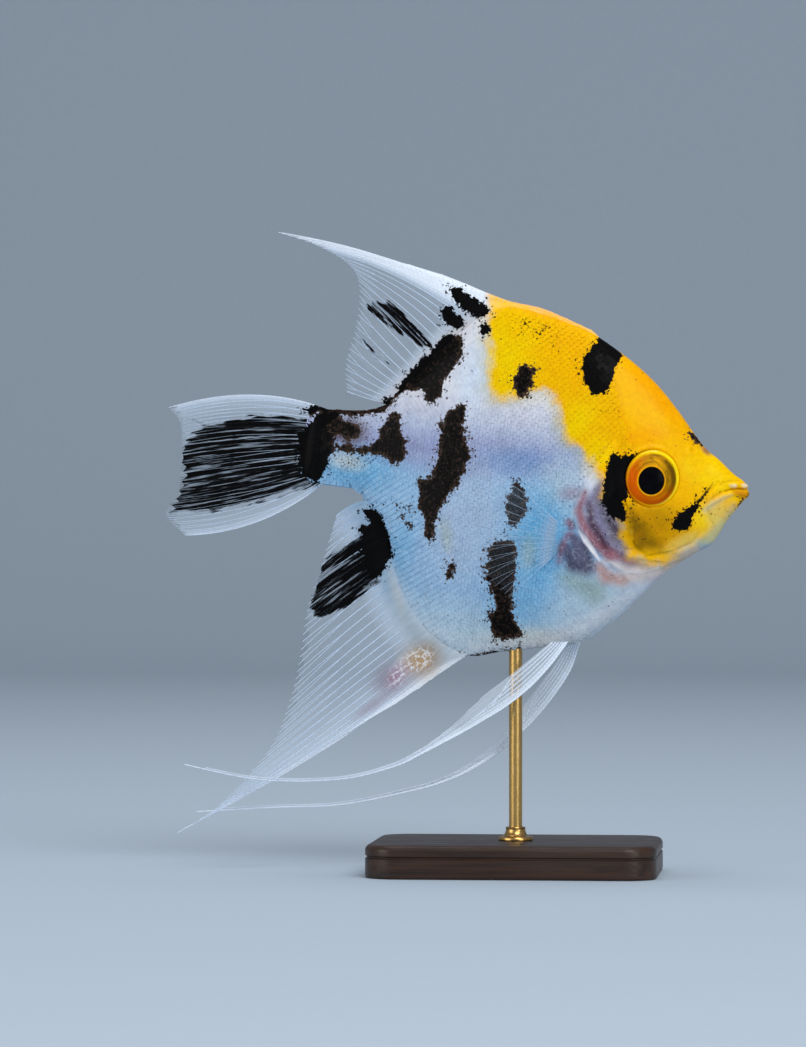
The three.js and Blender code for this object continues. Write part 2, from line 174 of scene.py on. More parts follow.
def flowing(points: Array, share: Array) -> Array:
    """Points of an even Catmull-Rom spline.

    Args:
        points: the spline's own points, one row each.
        share: how far along the spline to read, from 0 to 1.

    Returns:
        One row for each share.
    """
    last = len(points) - 1
    at = np.clip(np.asarray(share, float), 0, 1) * last
    i = np.clip(np.floor(at).astype(int), 0, last - 1)
    t = (at - i)[..., None]
    p0, p1, p2, p3 = (points[np.clip(i + k, 0, last)] for k in (-1, 0, 1, 2))
    start, end = (p2 - p0) / 2, (p3 - p1) / 2
    cubic = (2 * p1 - 2 * p2 + start + end) * t**3
    return cubic + (3 * p2 - 3 * p1 - 2 * start - end) * t**2 + start * t + p1


def step(low: float, high: float, value: Array) -> Array:
    """A smooth rise from 0 at low to 1 at high. It falls where low is above high."""
    t = np.clip((value - low) / (high - low), 0, 1)
    return t * t * (3 - 2 * t)


def bell(away: Array, width: float) -> Array:
    """A bell curve: 1 where away is 0, and about a third one width off."""
    return np.exp(-((away / width) ** 2))


def unit(arrows: Array) -> Array:
    """Arrows drawn to a length of one."""
    return arrows / np.maximum(np.linalg.norm(arrows, axis=-1, keepdims=True), TINY)


def chain_depth(chain: Knots, x: Array, z: Array) -> Array:
    """How deep points lie inside a chain of discs joined by their tangents.

    Args:
        chain: discs as (x, z, radius), at least one.
        x: the points' x.
        z: the points' z.

    Returns:
        Millimetres inside the chain's edge, and below zero outside it.
    """
    depth = np.full(np.shape(x), -1e3)
    links = zip(chain, chain[1:] or chain)
    for (ax, az, ar), (bx, bz, br) in links:
        length = max((bx - ax) ** 2 + (bz - az) ** 2, TINY)
        t = np.clip(((x - ax) * (bx - ax) + (z - az) * (bz - az)) / length, 0, 1)
        away = np.hypot(x - ax - t * (bx - ax), z - az - t * (bz - az))
        depth = np.maximum(depth, ar + (br - ar) * t - away)
    return depth


def side_of_line(line: Knots, x: Array, z: Array) -> Array:
    """The distance of points to a line of straight stretches, above zero on its left.

    Args:
        line: the line's points as (x, z), in order.
        x: the points' x.
        z: the points' z.

    Returns:
        Millimetres from the line.
    """
    nearest = np.full(np.shape(x), 1e3)
    sign = np.ones(np.shape(x))
    for (ax, az), (bx, bz) in zip(line, line[1:]):
        dx, dz = bx - ax, bz - az
        t = np.clip(((x - ax) * dx + (z - az) * dz) / (dx * dx + dz * dz), 0, 1)
        away = np.hypot(x - ax - t * dx, z - az - t * dz)
        closer = away < nearest
        nearest = np.where(closer, away, nearest)
        sign = np.where(closer, np.sign(dx * (z - az) - dz * (x - ax) + 1e-12), sign)
    return nearest * sign


def region_depth(outline: Knots, x: Array, z: Array) -> Array:
    """How deep points lie inside a closed outline.

    Args:
        outline: its corners as (x, z), in order.
        x: the points' x.
        z: the points' z.

    Returns:
        Millimetres inside the outline, and below zero outside it.
    """
    inside = np.zeros(np.shape(x), bool)
    closed = (*outline, outline[0])
    for (ax, az), (bx, bz) in zip(closed, closed[1:]):
        spans = (az > z) != (bz > z)
        crossing = ax + (z - az) * (bx - ax) / (bz - az if bz != az else TINY)
        inside ^= spans & (x < crossing)
    return np.abs(side_of_line(closed, x, z)) * np.where(inside, 1, -1)


# ---- the fish's frame and form ----


@dataclass(frozen=True)
class FishFrame:
    """Turns the fish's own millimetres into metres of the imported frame."""

    x: float
    z: float
    pitch: float = math.radians(7)

    @classmethod
    def from_eyes(cls, eye_x: float, eye_z: float) -> "FishFrame":
        """The frame that puts the fish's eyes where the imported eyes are.

        Args:
            eye_x: the eyes' x on the fish.
            eye_z: the eyes' z on the fish.

        Returns:
            The frame.
        """
        corners = [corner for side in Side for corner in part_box(f"eye_{side.word}")]
        middle = sum(corners, Vector()) / len(corners) / MM
        turned = cls(0, 0).place(np.array([[eye_x, 0, eye_z]]))[0] / MM
        return cls(middle.x - turned[0], middle.z - turned[2])

    def place(self, points: Array) -> Array:
        """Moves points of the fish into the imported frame.

        Args:
            points: rows of x, y, z in the fish's millimetres.

        Returns:
            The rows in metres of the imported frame.
        """
        x, y, z = np.moveaxis(points, -1, 0)
        cos, sin = math.cos(self.pitch), math.sin(self.pitch)
        return np.stack([x * cos + z * sin + self.x, y, z * cos - x * sin + self.z], -1) * MM


@dataclass(frozen=True)
class EyeSeat:
    """Where an eye sits, and the half axes of its ball."""

    x: float = 57.9
    z: float = 0.2
    length: float = 4.85
    height: float = 5.2
    depth: float = 2.3
    proud: float = 1.6

    def reach(self, x: Array, z: Array) -> Array:
        """How far points lie from the eye's middle, as a share of its rim."""
        return np.hypot((x - self.x) / self.length, (z - self.z) / self.height)


@dataclass(frozen=True)
class BodyForm:
    """The body's outer form: its outlines, its half width, and the fine relief of the head."""

    tail: float = -2.5
    tip: float = 75.1
    stalk_end: float = -5.6
    eye: EyeSeat = EyeSeat()
    back: SmoothCurve = SmoothCurve((
        (-2.5, 5.6), (4, 6.2), (8.5, 7.9), (12, 12.3), (20, 22.4), (25, 27), (29, 28.2), (35, 27.4),
        (43, 25.2), (50, 21.7), (56, 17.6), (61, 12.8), (64.5, 8.9), (66.3, 7.1), (67.4, 6.2), (68.9, 5.3),
        (72.4, 2.7), (73.7, 2), (74.5, 1.35), (74.95, 0.5), (75.1, -0.2),
    ))
    belly: SmoothCurve = SmoothCurve((
        (-2.5, -8.2), (3.7, -8.2), (6, -9.2), (8.5, -12.6), (12, -18.6), (14, -23.2), (17, -28.6),
        (21.5, -33), (26, -35.2), (29, -35.6), (34, -34.3), (42, -32.4), (48, -30.8), (51, -28.9),
        (56, -23.8), (60, -18.8), (63, -15.6), (67, -12.3), (69.8, -10.2), (70.6, -8.8), (72, -5.7),
        (73.7, -3), (74.5, -1.8), (74.95, -1.1), (75.1, -0.6),
    ))
    half_width: SmoothCurve = SmoothCurve((
        (-2.5, 0.9), (3, 1.5), (8, 2.3), (15, 3.5), (25, 4.9), (35, 5.9), (45, 6.5), (52, 6.4), (58, 5.7),
        (63, 4.6), (68, 3.3), (72, 2.2), (74.2, 1.45), (75.1, 0.8),
    ))
    widest: SmoothCurve = SmoothCurve((
        (-2.5, -1.3), (6, -1.5), (15, -3), (25, -5), (40, -6.5), (50, -6), (58, -4), (65, -3), (70, -2),
        (75.1, -0.4),
    ))
    back_keel: SmoothCurve = SmoothCurve((
        (-2.5, 1), (10, 1.2), (30, 1.3), (50, 1.1), (62, 0.95), (75.4, 0.9),
    ))
    belly_keel: SmoothCurve = SmoothCurve((
        (-2.5, 1), (12, 1.3), (26, 1.25), (38, 0.85), (50, 0.85), (62, 0.95), (75.4, 0.9),
    ))
    cover_edge: Knots = (
        (48.6, 3.4), (47.2, 0.6), (46.1, -2.4), (44.9, -6.4), (44.6, -8.4), (45.6, -10.1), (47.7, -12),
        (50.2, -14.3), (52.5, -16), (55.2, -17.2), (58.1, -17), (61.1, -15.8), (64.2, -13.9),
    )
    cover_fold: Knots = (
        (49, -1.5), (47.4, -6), (47.4, -8.4), (49.6, -10.9), (52, -13), (55.4, -14.4), (60, -14.4),
    )
    cheek_edge: Knots = ((53.9, -4.6), (54.6, -8.6), (56.1, -11.8), (58.6, -13.5), (61.5, -12.6))
    creases: tuple[tuple[Knots, float, float], ...] = (
        (((76.2, 0.5, 0), (74.8, 0.4, 0), (73.2, 0.3, 0), (71.9, 0, 0), (71.2, -0.4, 0)), -0.5, 0.17),
        (((71, -0.55, 0), (69.4, -1.7, 0), (68, -3.1, 0), (67.4, -4.6, 0)), -0.22, 0.24),
        (((73.4, 1.85, 0), (71.6, 1.5, 0), (70.4, 1, 0), (69.8, 0.3, 0)), -0.12, 0.2),
        (((75.2, 0.95, 0), (73.4, 1, 0), (71.5, 0.7, 0)), 0.26, 0.36),
        (((75.2, -0.5, 0), (73, -0.6, 0)), 0.3, 0.6),
        (((72.6, -0.8, 0), (71.2, -1.35, 0), (69.5, -2.45, 0), (67.8, -3.7, 0)), 0.2, 0.34),
    )
    jaw_fold: Knots = ((69.6, 0.9), (68.2, -1.2), (68.0, -3.6), (69.2, -6.2))
    jaw_edge: Knots = ((66.2, -2.6), (67.1, -5.6), (67.6, -8.3), (66.4, -10.4), (64, -11.8))
    lateral_line: Knots = ((47.5, 3.2), (40.5, 5.6), (33, 5.4), (26, 3.4), (20.5, 2.8))
    tail_line: Knots = ((18.5, -0.6), (10, 0.1), (0, -0.4))
    pore_pitch: float = 1.3
    fin_lobe: Knots = ((44.6, -12, 0.8), (45.2, -14.2, 1.5), (46.6, -15.8, 1.2))

    def point(self, x: Array, level: Array, side: Array | float) -> Array:
        """Points of the flank.

        Args:
            x: how far forward they lie.
            level: -1 at the belly's edge, 0 where the body is widest, and 1 at the back's edge.
            side: 1 on the left and -1 on the right.

        Returns:
            One row of x, y, z for each.
        """
        past = np.clip((self.tail - x) / (self.tail - self.stalk_end), 0, 1)
        shrink = 1 - 0.22 * past**2
        middle = self.widest(x)
        reach = np.where(level >= 0, self.back(x) - middle, middle - self.belly(x)) * shrink
        keel = np.where(level >= 0, self.back_keel(x), self.belly_keel(x))
        across = self.half_width(x) * np.clip(1 - level**2, 0, 1) ** (keel / 2) * (1 - past**1.5)
        return np.stack(np.broadcast_arrays(x, side * across, middle + level * reach), -1).astype(float)

    def flank(self, x: float, z: float) -> float:
        """How far the side stands from the middle plane.

        Args:
            x: how far forward.
            z: how far up.

        Returns:
            Millimetres outwards.
        """
        middle = float(self.widest(x))
        edge = float(self.back(x) if z >= middle else self.belly(x))
        level = min(abs(z - middle) / abs(edge - middle), 1) * (1 if z >= middle else -1)
        return float(self.point(np.array(x), np.array(level), 1)[..., 1])

    def frame_at(self, x: Array, level: Array, side: float) -> tuple[Array, Array, Array]:
        """The flank's own directions at points of it.

        Args:
            x: how far forward they lie.
            level: their level between belly and back.
            side: 1 on the left and -1 on the right.

        Returns:
            Unit vectors rearwards, upwards and outwards.
        """
        little = 1e-3
        rear = self.point(x - little, level, side) - self.point(x + little, level, side)
        above, below = np.minimum(level + little, 1), np.maximum(level - little, -1)
        up = self.point(x, above, side) - self.point(x, below, side)
        rear, out = unit(rear), unit(np.cross(up, rear) * side)
        return rear, np.cross(rear, out) * side, out

    def relief(self, x: Array, z: Array) -> Array:
        """How far the fine forms of head and flank stand off the plain form.

        Args:
            x: the points' x.
            z: the points' z.

        Returns:
            Millimetres outwards.
        """
        out = np.zeros(np.shape(x))
        eye = self.eye.reach(x, z)
        out -= 1.5 * step(1.015, 0.93, eye)
        lid = step(-3, 3, z - x + 57)
        out += lid * (0.16 * bell(eye - 1.08, 0.06) - 0.06 * bell(eye - 1.2, 0.04))
        cover = side_of_line(self.cover_edge, x, z)
        rear = step(56, 48, x)
        out += (0.18 + 0.2 * rear) * step(-0.15, 0.3, cover) * step(6.5, 0.5, cover)
        out -= 0.12 * bell(cover + 0.42, 0.32) * rear
        for line, height, wide in ((self.cover_fold, 0.16, 1.6), (self.cheek_edge, 0.2, 1.4)):
            ahead = side_of_line(line, x, z)
            out += height * np.tanh(ahead / 0.22) * bell(ahead, wide)
        for line, height, wide in self.creases:
            out += height * bell(chain_depth(line, x, z), wide)
        for line, depth, wide in ((self.jaw_fold, 0.2, 0.22), (self.jaw_edge, 0.16, 0.26)):
            near = side_of_line(line, x, z)
            out += 0.12 * bell(near - 0.7, 0.5) - depth * bell(near, wide)
        nostril = np.hypot((x - 64.4) / 1.15, z - 6.1)
        out += 0.1 * bell(nostril - 0.62, 0.22) - 0.35 * bell(nostril, 0.36)
        for line in (self.lateral_line, self.tail_line):
            pores = 0.5 + 0.5 * np.cos(x * 2 * math.pi / self.pore_pitch)
            out += 0.05 * bell(side_of_line(line, x, z), 0.3) * (0.4 + 0.6 * pores)
        out += 0.55 * step(-0.9, 0.9, chain_depth(self.fin_lobe, x, z))
        out += 0.05 * np.sin(x / 2.7 + z / 4.1) * np.sin(z / 3.3 - x / 6.5)
        return out


# ---- markings ----


@dataclass(frozen=True)
class Blotch:
    """A black mark: closed outlines of (x, z), chains of discs (x, z, radius), and how solid its black is."""

    outlines: tuple[Knots, ...] = ()
    chains: tuple[Knots, ...] = ()
    soot: float = 1.0

    def depth(self, x: Array, z: Array) -> Array:
        """Millimetres inside the mark, and below zero outside it."""
        depths = [region_depth(outline, x, z) for outline in self.outlines]
        return np.max(depths + [chain_depth(chain, x, z) for chain in self.chains], 0)


@dataclass(frozen=True)
class Wash:
    """A soft oval patch of one tint over what lies under it."""

    tint: Tint
    x: float
    z: float
    along: float
    across: float
    lean: float = 0
    strength: float = 1

    def cover(self, x: Array, z: Array) -> Array:
        """How strongly the patch covers points.

        Args:
            x: the points' x.
            z: the points' z.

        Returns:
            0 where it doesn't, up to its strength.
        """
        cos, sin = math.cos(math.radians(self.lean)), math.sin(math.radians(self.lean))
        dx, dz = x - self.x, z - self.z
        away = ((dx * cos + dz * sin) / self.along) ** 2 + ((dz * cos - dx * sin) / self.across) ** 2
        return self.strength * np.exp(-(away**1.5))


@dataclass(frozen=True)
class Band:
    """A patch of one tint along a chain of discs (x, z, radius), soft by so many millimetres at its edge."""

    tint: Tint
    chain: Knots
    soft: float = 0.6
    strength: float = 1

    def cover(self, x: Array, z: Array) -> Array:
        """How strongly the patch covers each point, from 0 to its strength."""
        return self.strength * step(-self.soft, self.soft, chain_depth(self.chain, x, z))


def washed(colour: Array, washes: tuple[Wash | Band, ...], x: Array, z: Array) -> Array:
    """Colours with soft patches laid over them in order.

    Args:
        colour: the ground's linear colours, one row for each point.
        washes: the patches.
        x: the points' x.
        z: the points' z.

    Returns:
        The covered colours.
    """
    for wash in washes:
        cover = wash.cover(x, z)[..., None]
        colour = colour * (1 - cover) + wash.tint.rgb * cover
    return colour


@dataclass(frozen=True)
class Markings:
    """The calico pattern: pale ground, yellow head and back, and ragged black marks, with painted shade and
    painted highlights laid into the pale and the yellow.
    """

    blotches: tuple[Blotch, ...] = (
        Blotch((((18.5, 22), (20.6, 21.5), (21.3, 18.7), (20.9, 16.2), (18.5, 14), (18.6, 11.6), (17.5, 8.8),
                 (15.3, 8.8), (15.2, 10.7), (12.5, 10.7), (10.5, 12.1), (13.4, 16.1), (15.5, 19),
                 (17.1, 21.1)),),
               (((13, 13.2, 1), (10.9, 10.6, 0.7), (9.3, 8.7, 0.45), (7, 7, 0.5)),), 0.84),
        Blotch((((22.8, 9.4), (23.7, 4), (25.2, -0.1), (23.9, -3.6), (21.8, -8), (20.4, -11), (19.9, -15.8),
                 (18.7, -15.6), (17.7, -11.3), (16.1, -9.9), (16.9, -7.5), (15.8, -4.9), (18.2, -4.3),
                 (18.6, -1.2), (19.1, 0.6), (18.7, 4.9), (20, 8.4)),), soot=0.8),
        Blotch((((32, -13.7), (34.8, -13.9), (35.8, -17.4), (35.7, -21.3), (35.8, -25.1), (37.1, -28.9),
                 (38.3, -30.7), (36.2, -31.8), (33.5, -32.1), (32.2, -30.6), (31.3, -27.4), (32.9, -26.6),
                 (31.4, -22.9), (30.1, -21.4), (30.3, -18.1), (29.7, -15.9)),), soot=0.8),
        Blotch((((34.3, -3.2), (35.9, -4.7), (36.2, -7.9), (35.1, -11.7), (33.4, -11.1), (32.5, -8.4),
                 (32.7, -5.6), (33.6, -3.6)),), soot=0.7),
        Blotch((((23.1, -19), (24.6, -19.6), (24.5, -21.6), (23.7, -22.2), (22.8, -21.2)),), soot=0.8),
        Blotch(chains=(((13.2, -10.4, 0.5), (14.4, -10.6, 0.5)), ((14.2, -12.4, 0.5), (15.2, -13.2, 0.6))),
               soot=0.7),
        Blotch((((9.4, 6.3), (10.8, 6.5), (11.9, 4.9), (11.8, 2.9), (13.1, 1.7), (13.3, -0.3), (12, -3.1),
                 (10.3, -2.6), (9.4, -1.4), (7.1, -1.7), (6, -0.8), (7.9, 2.4), (8.3, 4.5)),),
               (((12.6, -0.5, 0.6), (7.8, -0.9, 0.6), (3.6, -1.2, 0.8), (-0.6, -1, 1)),), 0.84),
        Blotch(chains=(((-0.4, 2.6, 1.6), (3.2, 2.2, 1.6)),), soot=0.72),
        Blotch((((1.1, 5.6), (-0.4, 3.6), (-1.3, 1.5), (-0.4, 0.1), (-0.3, -2.2), (-1, -4.2), (-1.4, -6.1),
                 (-2.2, -8), (-4.8, -7.4), (-6.8, -4), (-7.2, 0.2), (-4.2, 4.4), (-1.6, 5.8)),)),
        Blotch(chains=(((-6, 5, 0.7), (-2, 5.4, 0.8), (3.4, 5.6, 0.7), (8, 6.8, 0.5), (9.3, 8.2, 0.4)),),
               soot=0.84),
        Blotch((((49.7, 3.4), (51, 4.1), (51.9, 3.5), (55.2, 4.5), (54.6, 2.6), (54.2, 1), (54, -1),
                 (54.2, -3), (55.1, -4.5), (54.2, -4), (53.4, -4.4), (53.4, -5.5), (54.2, -6.6), (54.3, -7.9),
                 (52, -7.9), (50.8, -6.8), (49.8, -6.1), (49.2, -4.3), (49.5, -3), (49.7, -1.2), (49.5, 0.4),
                 (49.7, 2.1)),)),
        Blotch((((67.2, -1.8), (66.5, -2.8), (65.5, -3.5), (64.4, -4.3), (63.4, -5.5), (62.6, -6.8),
                 (62.6, -8.1), (63.6, -8.7), (64.8, -8.5), (65.7, -7.1), (65.7, -5.6), (66.7, -4.4),
                 (66.9, -3.1)),),
               (((68.5, 0.4, 0.05), (67.4, -1.5, 0.3), (66.6, -2.8, 0.5)),)),
        Blotch((((44.4, 23.2), (46, 25.4), (47.4, 23.8), (49.7, 21.8), (48.8, 18.1), (47.9, 14.4),
                 (45.7, 13.8), (43.7, 15.7), (42.6, 19.6)),)),
        Blotch((((32.8, 18.2), (34.7, 17.3), (34.7, 14.6), (33.7, 11.6), (31.8, 11.6), (30.7, 14.1),
                 (31.5, 16.9)),), soot=0.8),
        Blotch(chains=(((24.4, 23.2, 1.1), (24.5, 23, 1.1)),)),
        Blotch(chains=(((63, 9.3, 0.3), (64.4, 8.5, 0.5), (65.8, 7.5, 0.3)),), soot=0.8),
        Blotch(chains=(((31.6, 25.4, 0.3), (32.4, 24.6, 0.2)), ((33.8, 23.7, 0.25), (35.1, 24.3, 0.3)))),
        Blotch(chains=(((75, -0.9, 0.2), (73.9, -2.8, 0.1)),), soot=0.7),
        Blotch(chains=(((26.8, -35.3, 0.1), (29.8, -35.4, 0.25), (33.5, -34.4, 0.3), (37.7, -33.2, 0.1)),),
               soot=0.8),
        Blotch((((16.4, 30.6), (19, 29.9), (23.8, 27.9), (25.4, 26.2), (23, 25), (20.9, 25.7), (18.8, 27.2),
                 (17.4, 28.8)),
                ((15.9, 26), (17.4, 26.9), (19, 25.7), (20.7, 24.4), (20.2, 22.8), (17.8, 22.9),
                 (16.2, 24.7)))),
        Blotch((((6.5, -11.9), (8.4, -11.3), (10.2, -12.5), (12, -15.4), (12.8, -18.7), (12, -22),
                 (9.4, -24.6), (8.9, -22.9), (6.2, -22), (7.9, -20.4), (5.3, -19), (7.6, -17.2), (6, -15.2),
                 (7.4, -13.8)),)),
    )
    fin_streaks: Blotch = Blotch(
        (
            ((0.4, 2.8), (-5.3, 3.2), (-9.3, 3.6), (-15.5, 2.8), (-20.2, 1.6), (-24.6, 0), (-29.4, -5.3),
             (-29.4, -9.6), (-31.4, -17.2), (-20.6, -15.4), (-11.2, -12.2), (-2, -8.1), (0.4, -5.4)),
            ((2.7, 26.4), (6.6, 26.1), (9.4, 24.4), (12, 22.2), (15.2, 19.2), (12.8, 18.9), (8.5, 21.1),
             (3, 24)),
            ((7.6, -15), (4.1, -18.4), (0.7, -21.1), (-0.2, -23.3), (-0.8, -27.1), (-1.4, -31), (1.5, -32.5),
             (4.1, -31.1), (7.1, -28.9), (10.4, -24.8), (11.4, -20), (9.6, -15)),
        ),
        (((-26.6, 0.6, 0.3), (-24, 0.2, 0.4)), ((2.4, 18.8, 0.3), (5.2, 17, 0.5), (8, 15.2, 0.3))),
    )
    yellow: Knots = (
        (23.4, 31), (25, 26.6), (26.2, 18.5), (26.7, 13.5), (28.2, 11.2), (30.6, 11.6), (33, 12.4),
        (35.2, 13.4), (36.5, 14.6), (38.5, 13.1), (40, 10.3), (41.6, 6.2), (44.3, 4.5), (46.3, 2.6),
        (48.7, 0.3), (49.6, -1.6), (50.6, -4), (51.6, -5.6), (53.2, -7.4), (54.6, -12), (55.8, -14),
        (58.9, -14.7), (61.3, -14.2), (63.6, -12.6), (66.3, -10.8), (68.6, -9), (71, -7.6), (78, -7),
        (78, 34), (23.4, 34),
    )
    ground_bands: tuple[tuple[float, Tint], ...] = (
        (-50, Tint.MIST), (-32, Tint.MIST), (-24, Tint.ICE), (-4, Tint.ICE), (1, Tint.LILAC),
        (5, Tint.PEARL), (12, Tint.CHALK), (32, Tint.CHALK),
    )
    ground_washes: tuple[Wash | Band, ...] = (
        Wash(Tint.FROST, 24, 14.5, 4, 7, 0, 0.8),
        # Painted shade: a lilac and a slate-blue band darken the middle of the flank below the lateral line.
        Wash(Tint.LILAC, 24, 0.6, 12, 3.8, 6, 0.7),
        Wash(Tint.SLATE, 32, 0.2, 9, 2.6, 7, 0.7),
        Wash(Tint.MIST, 43, -3, 5, 6, 0, 0.7),
        Wash(Tint.SKY, 39.5, -13, 5.5, 8.5, 8, 0.9),
        Wash(Tint.SKY, 37, -25, 6, 7, 0, 0.5),
        Wash(Tint.SKY, 13.6, -19, 3, 8, -20, 0.4),
        Wash(Tint.SKY, 4.5, -4.6, 7, 3.6, 0, 0.7),
        Wash(Tint.BARK, 2.4, 2, 3.2, 2.4, 0, 0.95),
        Wash(Tint.BONE, 2.6, -3.4, 3.6, 1.6, -6, 0.6),
        Wash(Tint.PEARL, 25, -10, 7, 14, 0, 0.5),
        Wash(Tint.OLIVE_STAIN, 22.5, -14.6, 1.1, 3.2, 14, 0.55),
        Wash(Tint.OLIVE_STAIN, 37.6, -15.6, 1.5, 3.2, 0, 0.5),
        Wash(Tint.BONE, 14.4, -26, 1, 5, 24, 0.5),
        Wash(Tint.BONE, 41, -31, 9, 2.2, 5, 0.7),
        Wash(Tint.TAN, 21, -37, 3, 3.2, 0, 0.8),
        Wash(Tint.BLUSH, 44, -4.2, 2.4, 1.4, 10, 0.5),
        Wash(Tint.CHALK, 47.2, -0.2, 2, 4, 14, 0.8),
        Wash(Tint.MIST, 50, -23.5, 8, 6, 35, 0.8),
        # Painted light: pale bands along the belly's lower edge and the chest, which face down, lighten them.
        Band(Tint.FROST, ((10, -16, 0.3), (15, -25, 0.6), (19.5, -31, 0.6), (28, -34, 0.6)), 2, 0.45),
        Band(Tint.CHALK, ((30, -34, 0.6), (42, -31.6, 1), (50, -27.4, 1.6), (56, -22, 1.8),
                          (62, -16, 1)), 2, 0.6),
        Band(Tint.REED, ((44.8, -19.4, 1.2), (50, -21.2, 2)), 2, 0.85),
        Band(Tint.CREAM, ((54.6, -18.4, 1.2), (60, -16, 2), (66.4, -12, 1.8)), 1.2, 0.95),
        Band(Tint.SALMON, ((50.4, -16.6, 0.8), (52, -18.2, 1.2), (55, -18.6, 0.5)), 1.1, 0.95),
        Band(Tint.SMOKE, ((44.4, -14, 1.2), (46, -16.6, 1.6), (48.2, -16.8, 1.6), (46.8, -14, 1.9),
                          (45, -11.6, 0.9)), 0.9, 0.9),
        Band(Tint.ROSE, ((43.2, -16.6, 0.5), (43.2, -14, 0.5), (44.2, -11.6, 0.4)), 0.8, 0.75),
        Band(Tint.ROSE, ((44, -9.3, 0.55), (44.7, -10.1, 0.5)), 0.35, 0.9),
        Band(Tint.GILL, ((49, -1.6, 0.6), (48.6, -5.6, 2.2), (50.6, -9.4, 3), (53.2, -12.4, 2.2)), 0.8, 0.92),
        Band(Tint.CREAM, ((51.8, -15.2, 0.7), (55.6, -16.6, 0.8), (60, -16.1, 0.6)), 0.9, 0.9),
        Band(Tint.BLUSH, ((46.4, -3.6, 0.4), (45.6, -7, 0.8), (46.9, -9.8, 0.9), (49.1, -12.3, 1),
                          (52, -14.2, 1)), 0.8, 0.95),
        Band(Tint.BLUSH, ((52, -14, 0.9), (55.8, -15.1, 0.7), (58.8, -15.2, 0.3)), 0.9, 0.9),
        Band(Tint.MAROON, ((47.3, -5.6, 0.3), (48.1, -8.8, 0.7), (49.8, -11, 0.8),
                           (51.2, -12.8, 0.6)), 0.9, 0.85),
        Band(Tint.HAZE, ((49.2, -4, 0.6), (50.2, -7.4, 1), (52.6, -10.8, 1)), 1, 0.8),
        Band(Tint.MAROON, ((51.2, -8, 0.2), (52.6, -9.4, 0.5), (54, -11, 0.4)), 0.7, 0.8),
        # A pale line along the gill cover's edge: partly its own pale rim, partly a painted highlight on the
        # raised edge.
        Band(Tint.CHALK, ((46, -2.8, 0.02), (44.7, -7.2, 0.05), (44.5, -8.7, 0.08),
                          (46.2, -10.6, 0.06)), 0.14, 0.5),
        Band(Tint.CHALK, ((51, -14.9, 0.05), (55.2, -17, 0.12), (58.1, -16.8, 0.12),
                          (62, -15.2, 0.05)), 0.25, 0.8),
        Band(Tint.CHALK, ((45.9, -10.5, 0.05), (47.4, -12.1, 0.5), (49, -13.9, 0.42),
                          (50.4, -15.6, 0.1)), 0.14, 1),
        Wash(Tint.STRAW, 62, -12.4, 5, 1.2, 32, 0.55),
        Wash(Tint.STRAW, 69.6, -8.4, 2.6, 1.6, 40, 0.7),
    )
    yellow_washes: tuple[Wash | Band, ...] = (
        Wash(Tint.LEMON, 29, 19, 6, 9, 0, 0.9),
        Wash(Tint.MARIGOLD, 57, 15.6, 9, 2.2, -42, 0.8),
        Wash(Tint.MARIGOLD, 55.5, 7.6, 4.6, 1.6, 14, 0.6),
        Wash(Tint.MARIGOLD, 38, 27.6, 12, 1.4, -8, 0.7),
        Wash(Tint.LEMON, 43, 8.6, 3, 5, -30, 0.9),
        Wash(Tint.LEMON, 47.5, 3.6, 3.4, 3, -30, 0.9),
        Wash(Tint.MUSTARD, 59.4, -7.6, 6.4, 4.2, -4, 0.95),
        Band(Tint.OLIVE, ((55.2, -6.6, 0.5), (56.6, -8.8, 1.3), (57.8, -11.2, 1.6),
                          (60.4, -11.4, 1)), 1.4, 0.8),
        Band(Tint.OLIVE, ((54.8, -5.6, 0.3), (55.6, -8.4, 0.5), (57, -12, 0.6)), 0.8, 0.6),
        Band(Tint.AMBER, ((57.6, -14, 0.3), (60.4, -13.6, 0.4)), 0.8, 0.8),
        Wash(Tint.LEMON, 68.4, 2.2, 6.4, 3.2, -28, 0.85),
        Band(Tint.JAW, ((72.9, -3.2, 0.5), (71.2, -6.6, 1.1), (69.4, -9.4, 1.4)), 1, 0.9),
        Wash(Tint.STRAW, 69.6, -4.6, 3, 2.2, 40, 0.8),
        Wash(Tint.LEMON, 67.2, -6, 1.5, 2.6, 20, 0.8),
        Band(Tint.BONE, ((68, -10.6, 0.8), (64.4, -12.8, 0.6)), 1.1, 0.9),
        Wash(Tint.STRAW, 64.8, -10.4, 3.4, 1.2, 32, 0.7),
        Band(Tint.JAW, ((72.2, -1, 0.12), (70.9, -1.7, 0.4), (69.2, -3, 0.6), (67.9, -4.4, 0.4)), 0.45, 0.7),
        Band(Tint.LIP, ((72.7, -0.4, 0.4), (74.2, -0.6, 0.7)), 0.5, 0.9),
        Band(Tint.LIP_BROWN, ((75, -0.2, 0.2), (74.9, -0.9, 0.2)), 0.35, 0.8),
        # Painted highlights: white glints on the upper lip.
        Band(Tint.FIN_MILK, ((71.8, 0.62, 0.12), (72.6, 0.66, 0.26)), 0.3, 0.8),
        Band(Tint.FIN_MILK, ((73.8, 0.96, 0.1), (74.4, 0.9, 0.34)), 0.3, 0.9),
        # Painted shade: a dark brown line in the mouth's slit.
        Band(Tint.LIP_BROWN, ((75.4, 0.42, 0.08), (73.2, 0.3, 0.07), (72, 0.02, 0.05),
                              (71.2, -0.4, 0.02)), 0.12, 0.8),
        Band(Tint.LIP, ((73.4, 1.8, 0.04), (71.6, 1.45, 0.06), (70.4, 1, 0.04),
                        (69.9, 0.4, 0.02)), 0.16, 0.7),
        Wash(Tint.BLUSH, 66.7, 6.5, 1.1, 0.6, -40, 0.8),
        Band(Tint.INK, ((68.6, 0.5, 0.06), (67.5, -1.4, 0.16), (66.8, -2.6, 0.24)), 0.16, 0.95),
    )
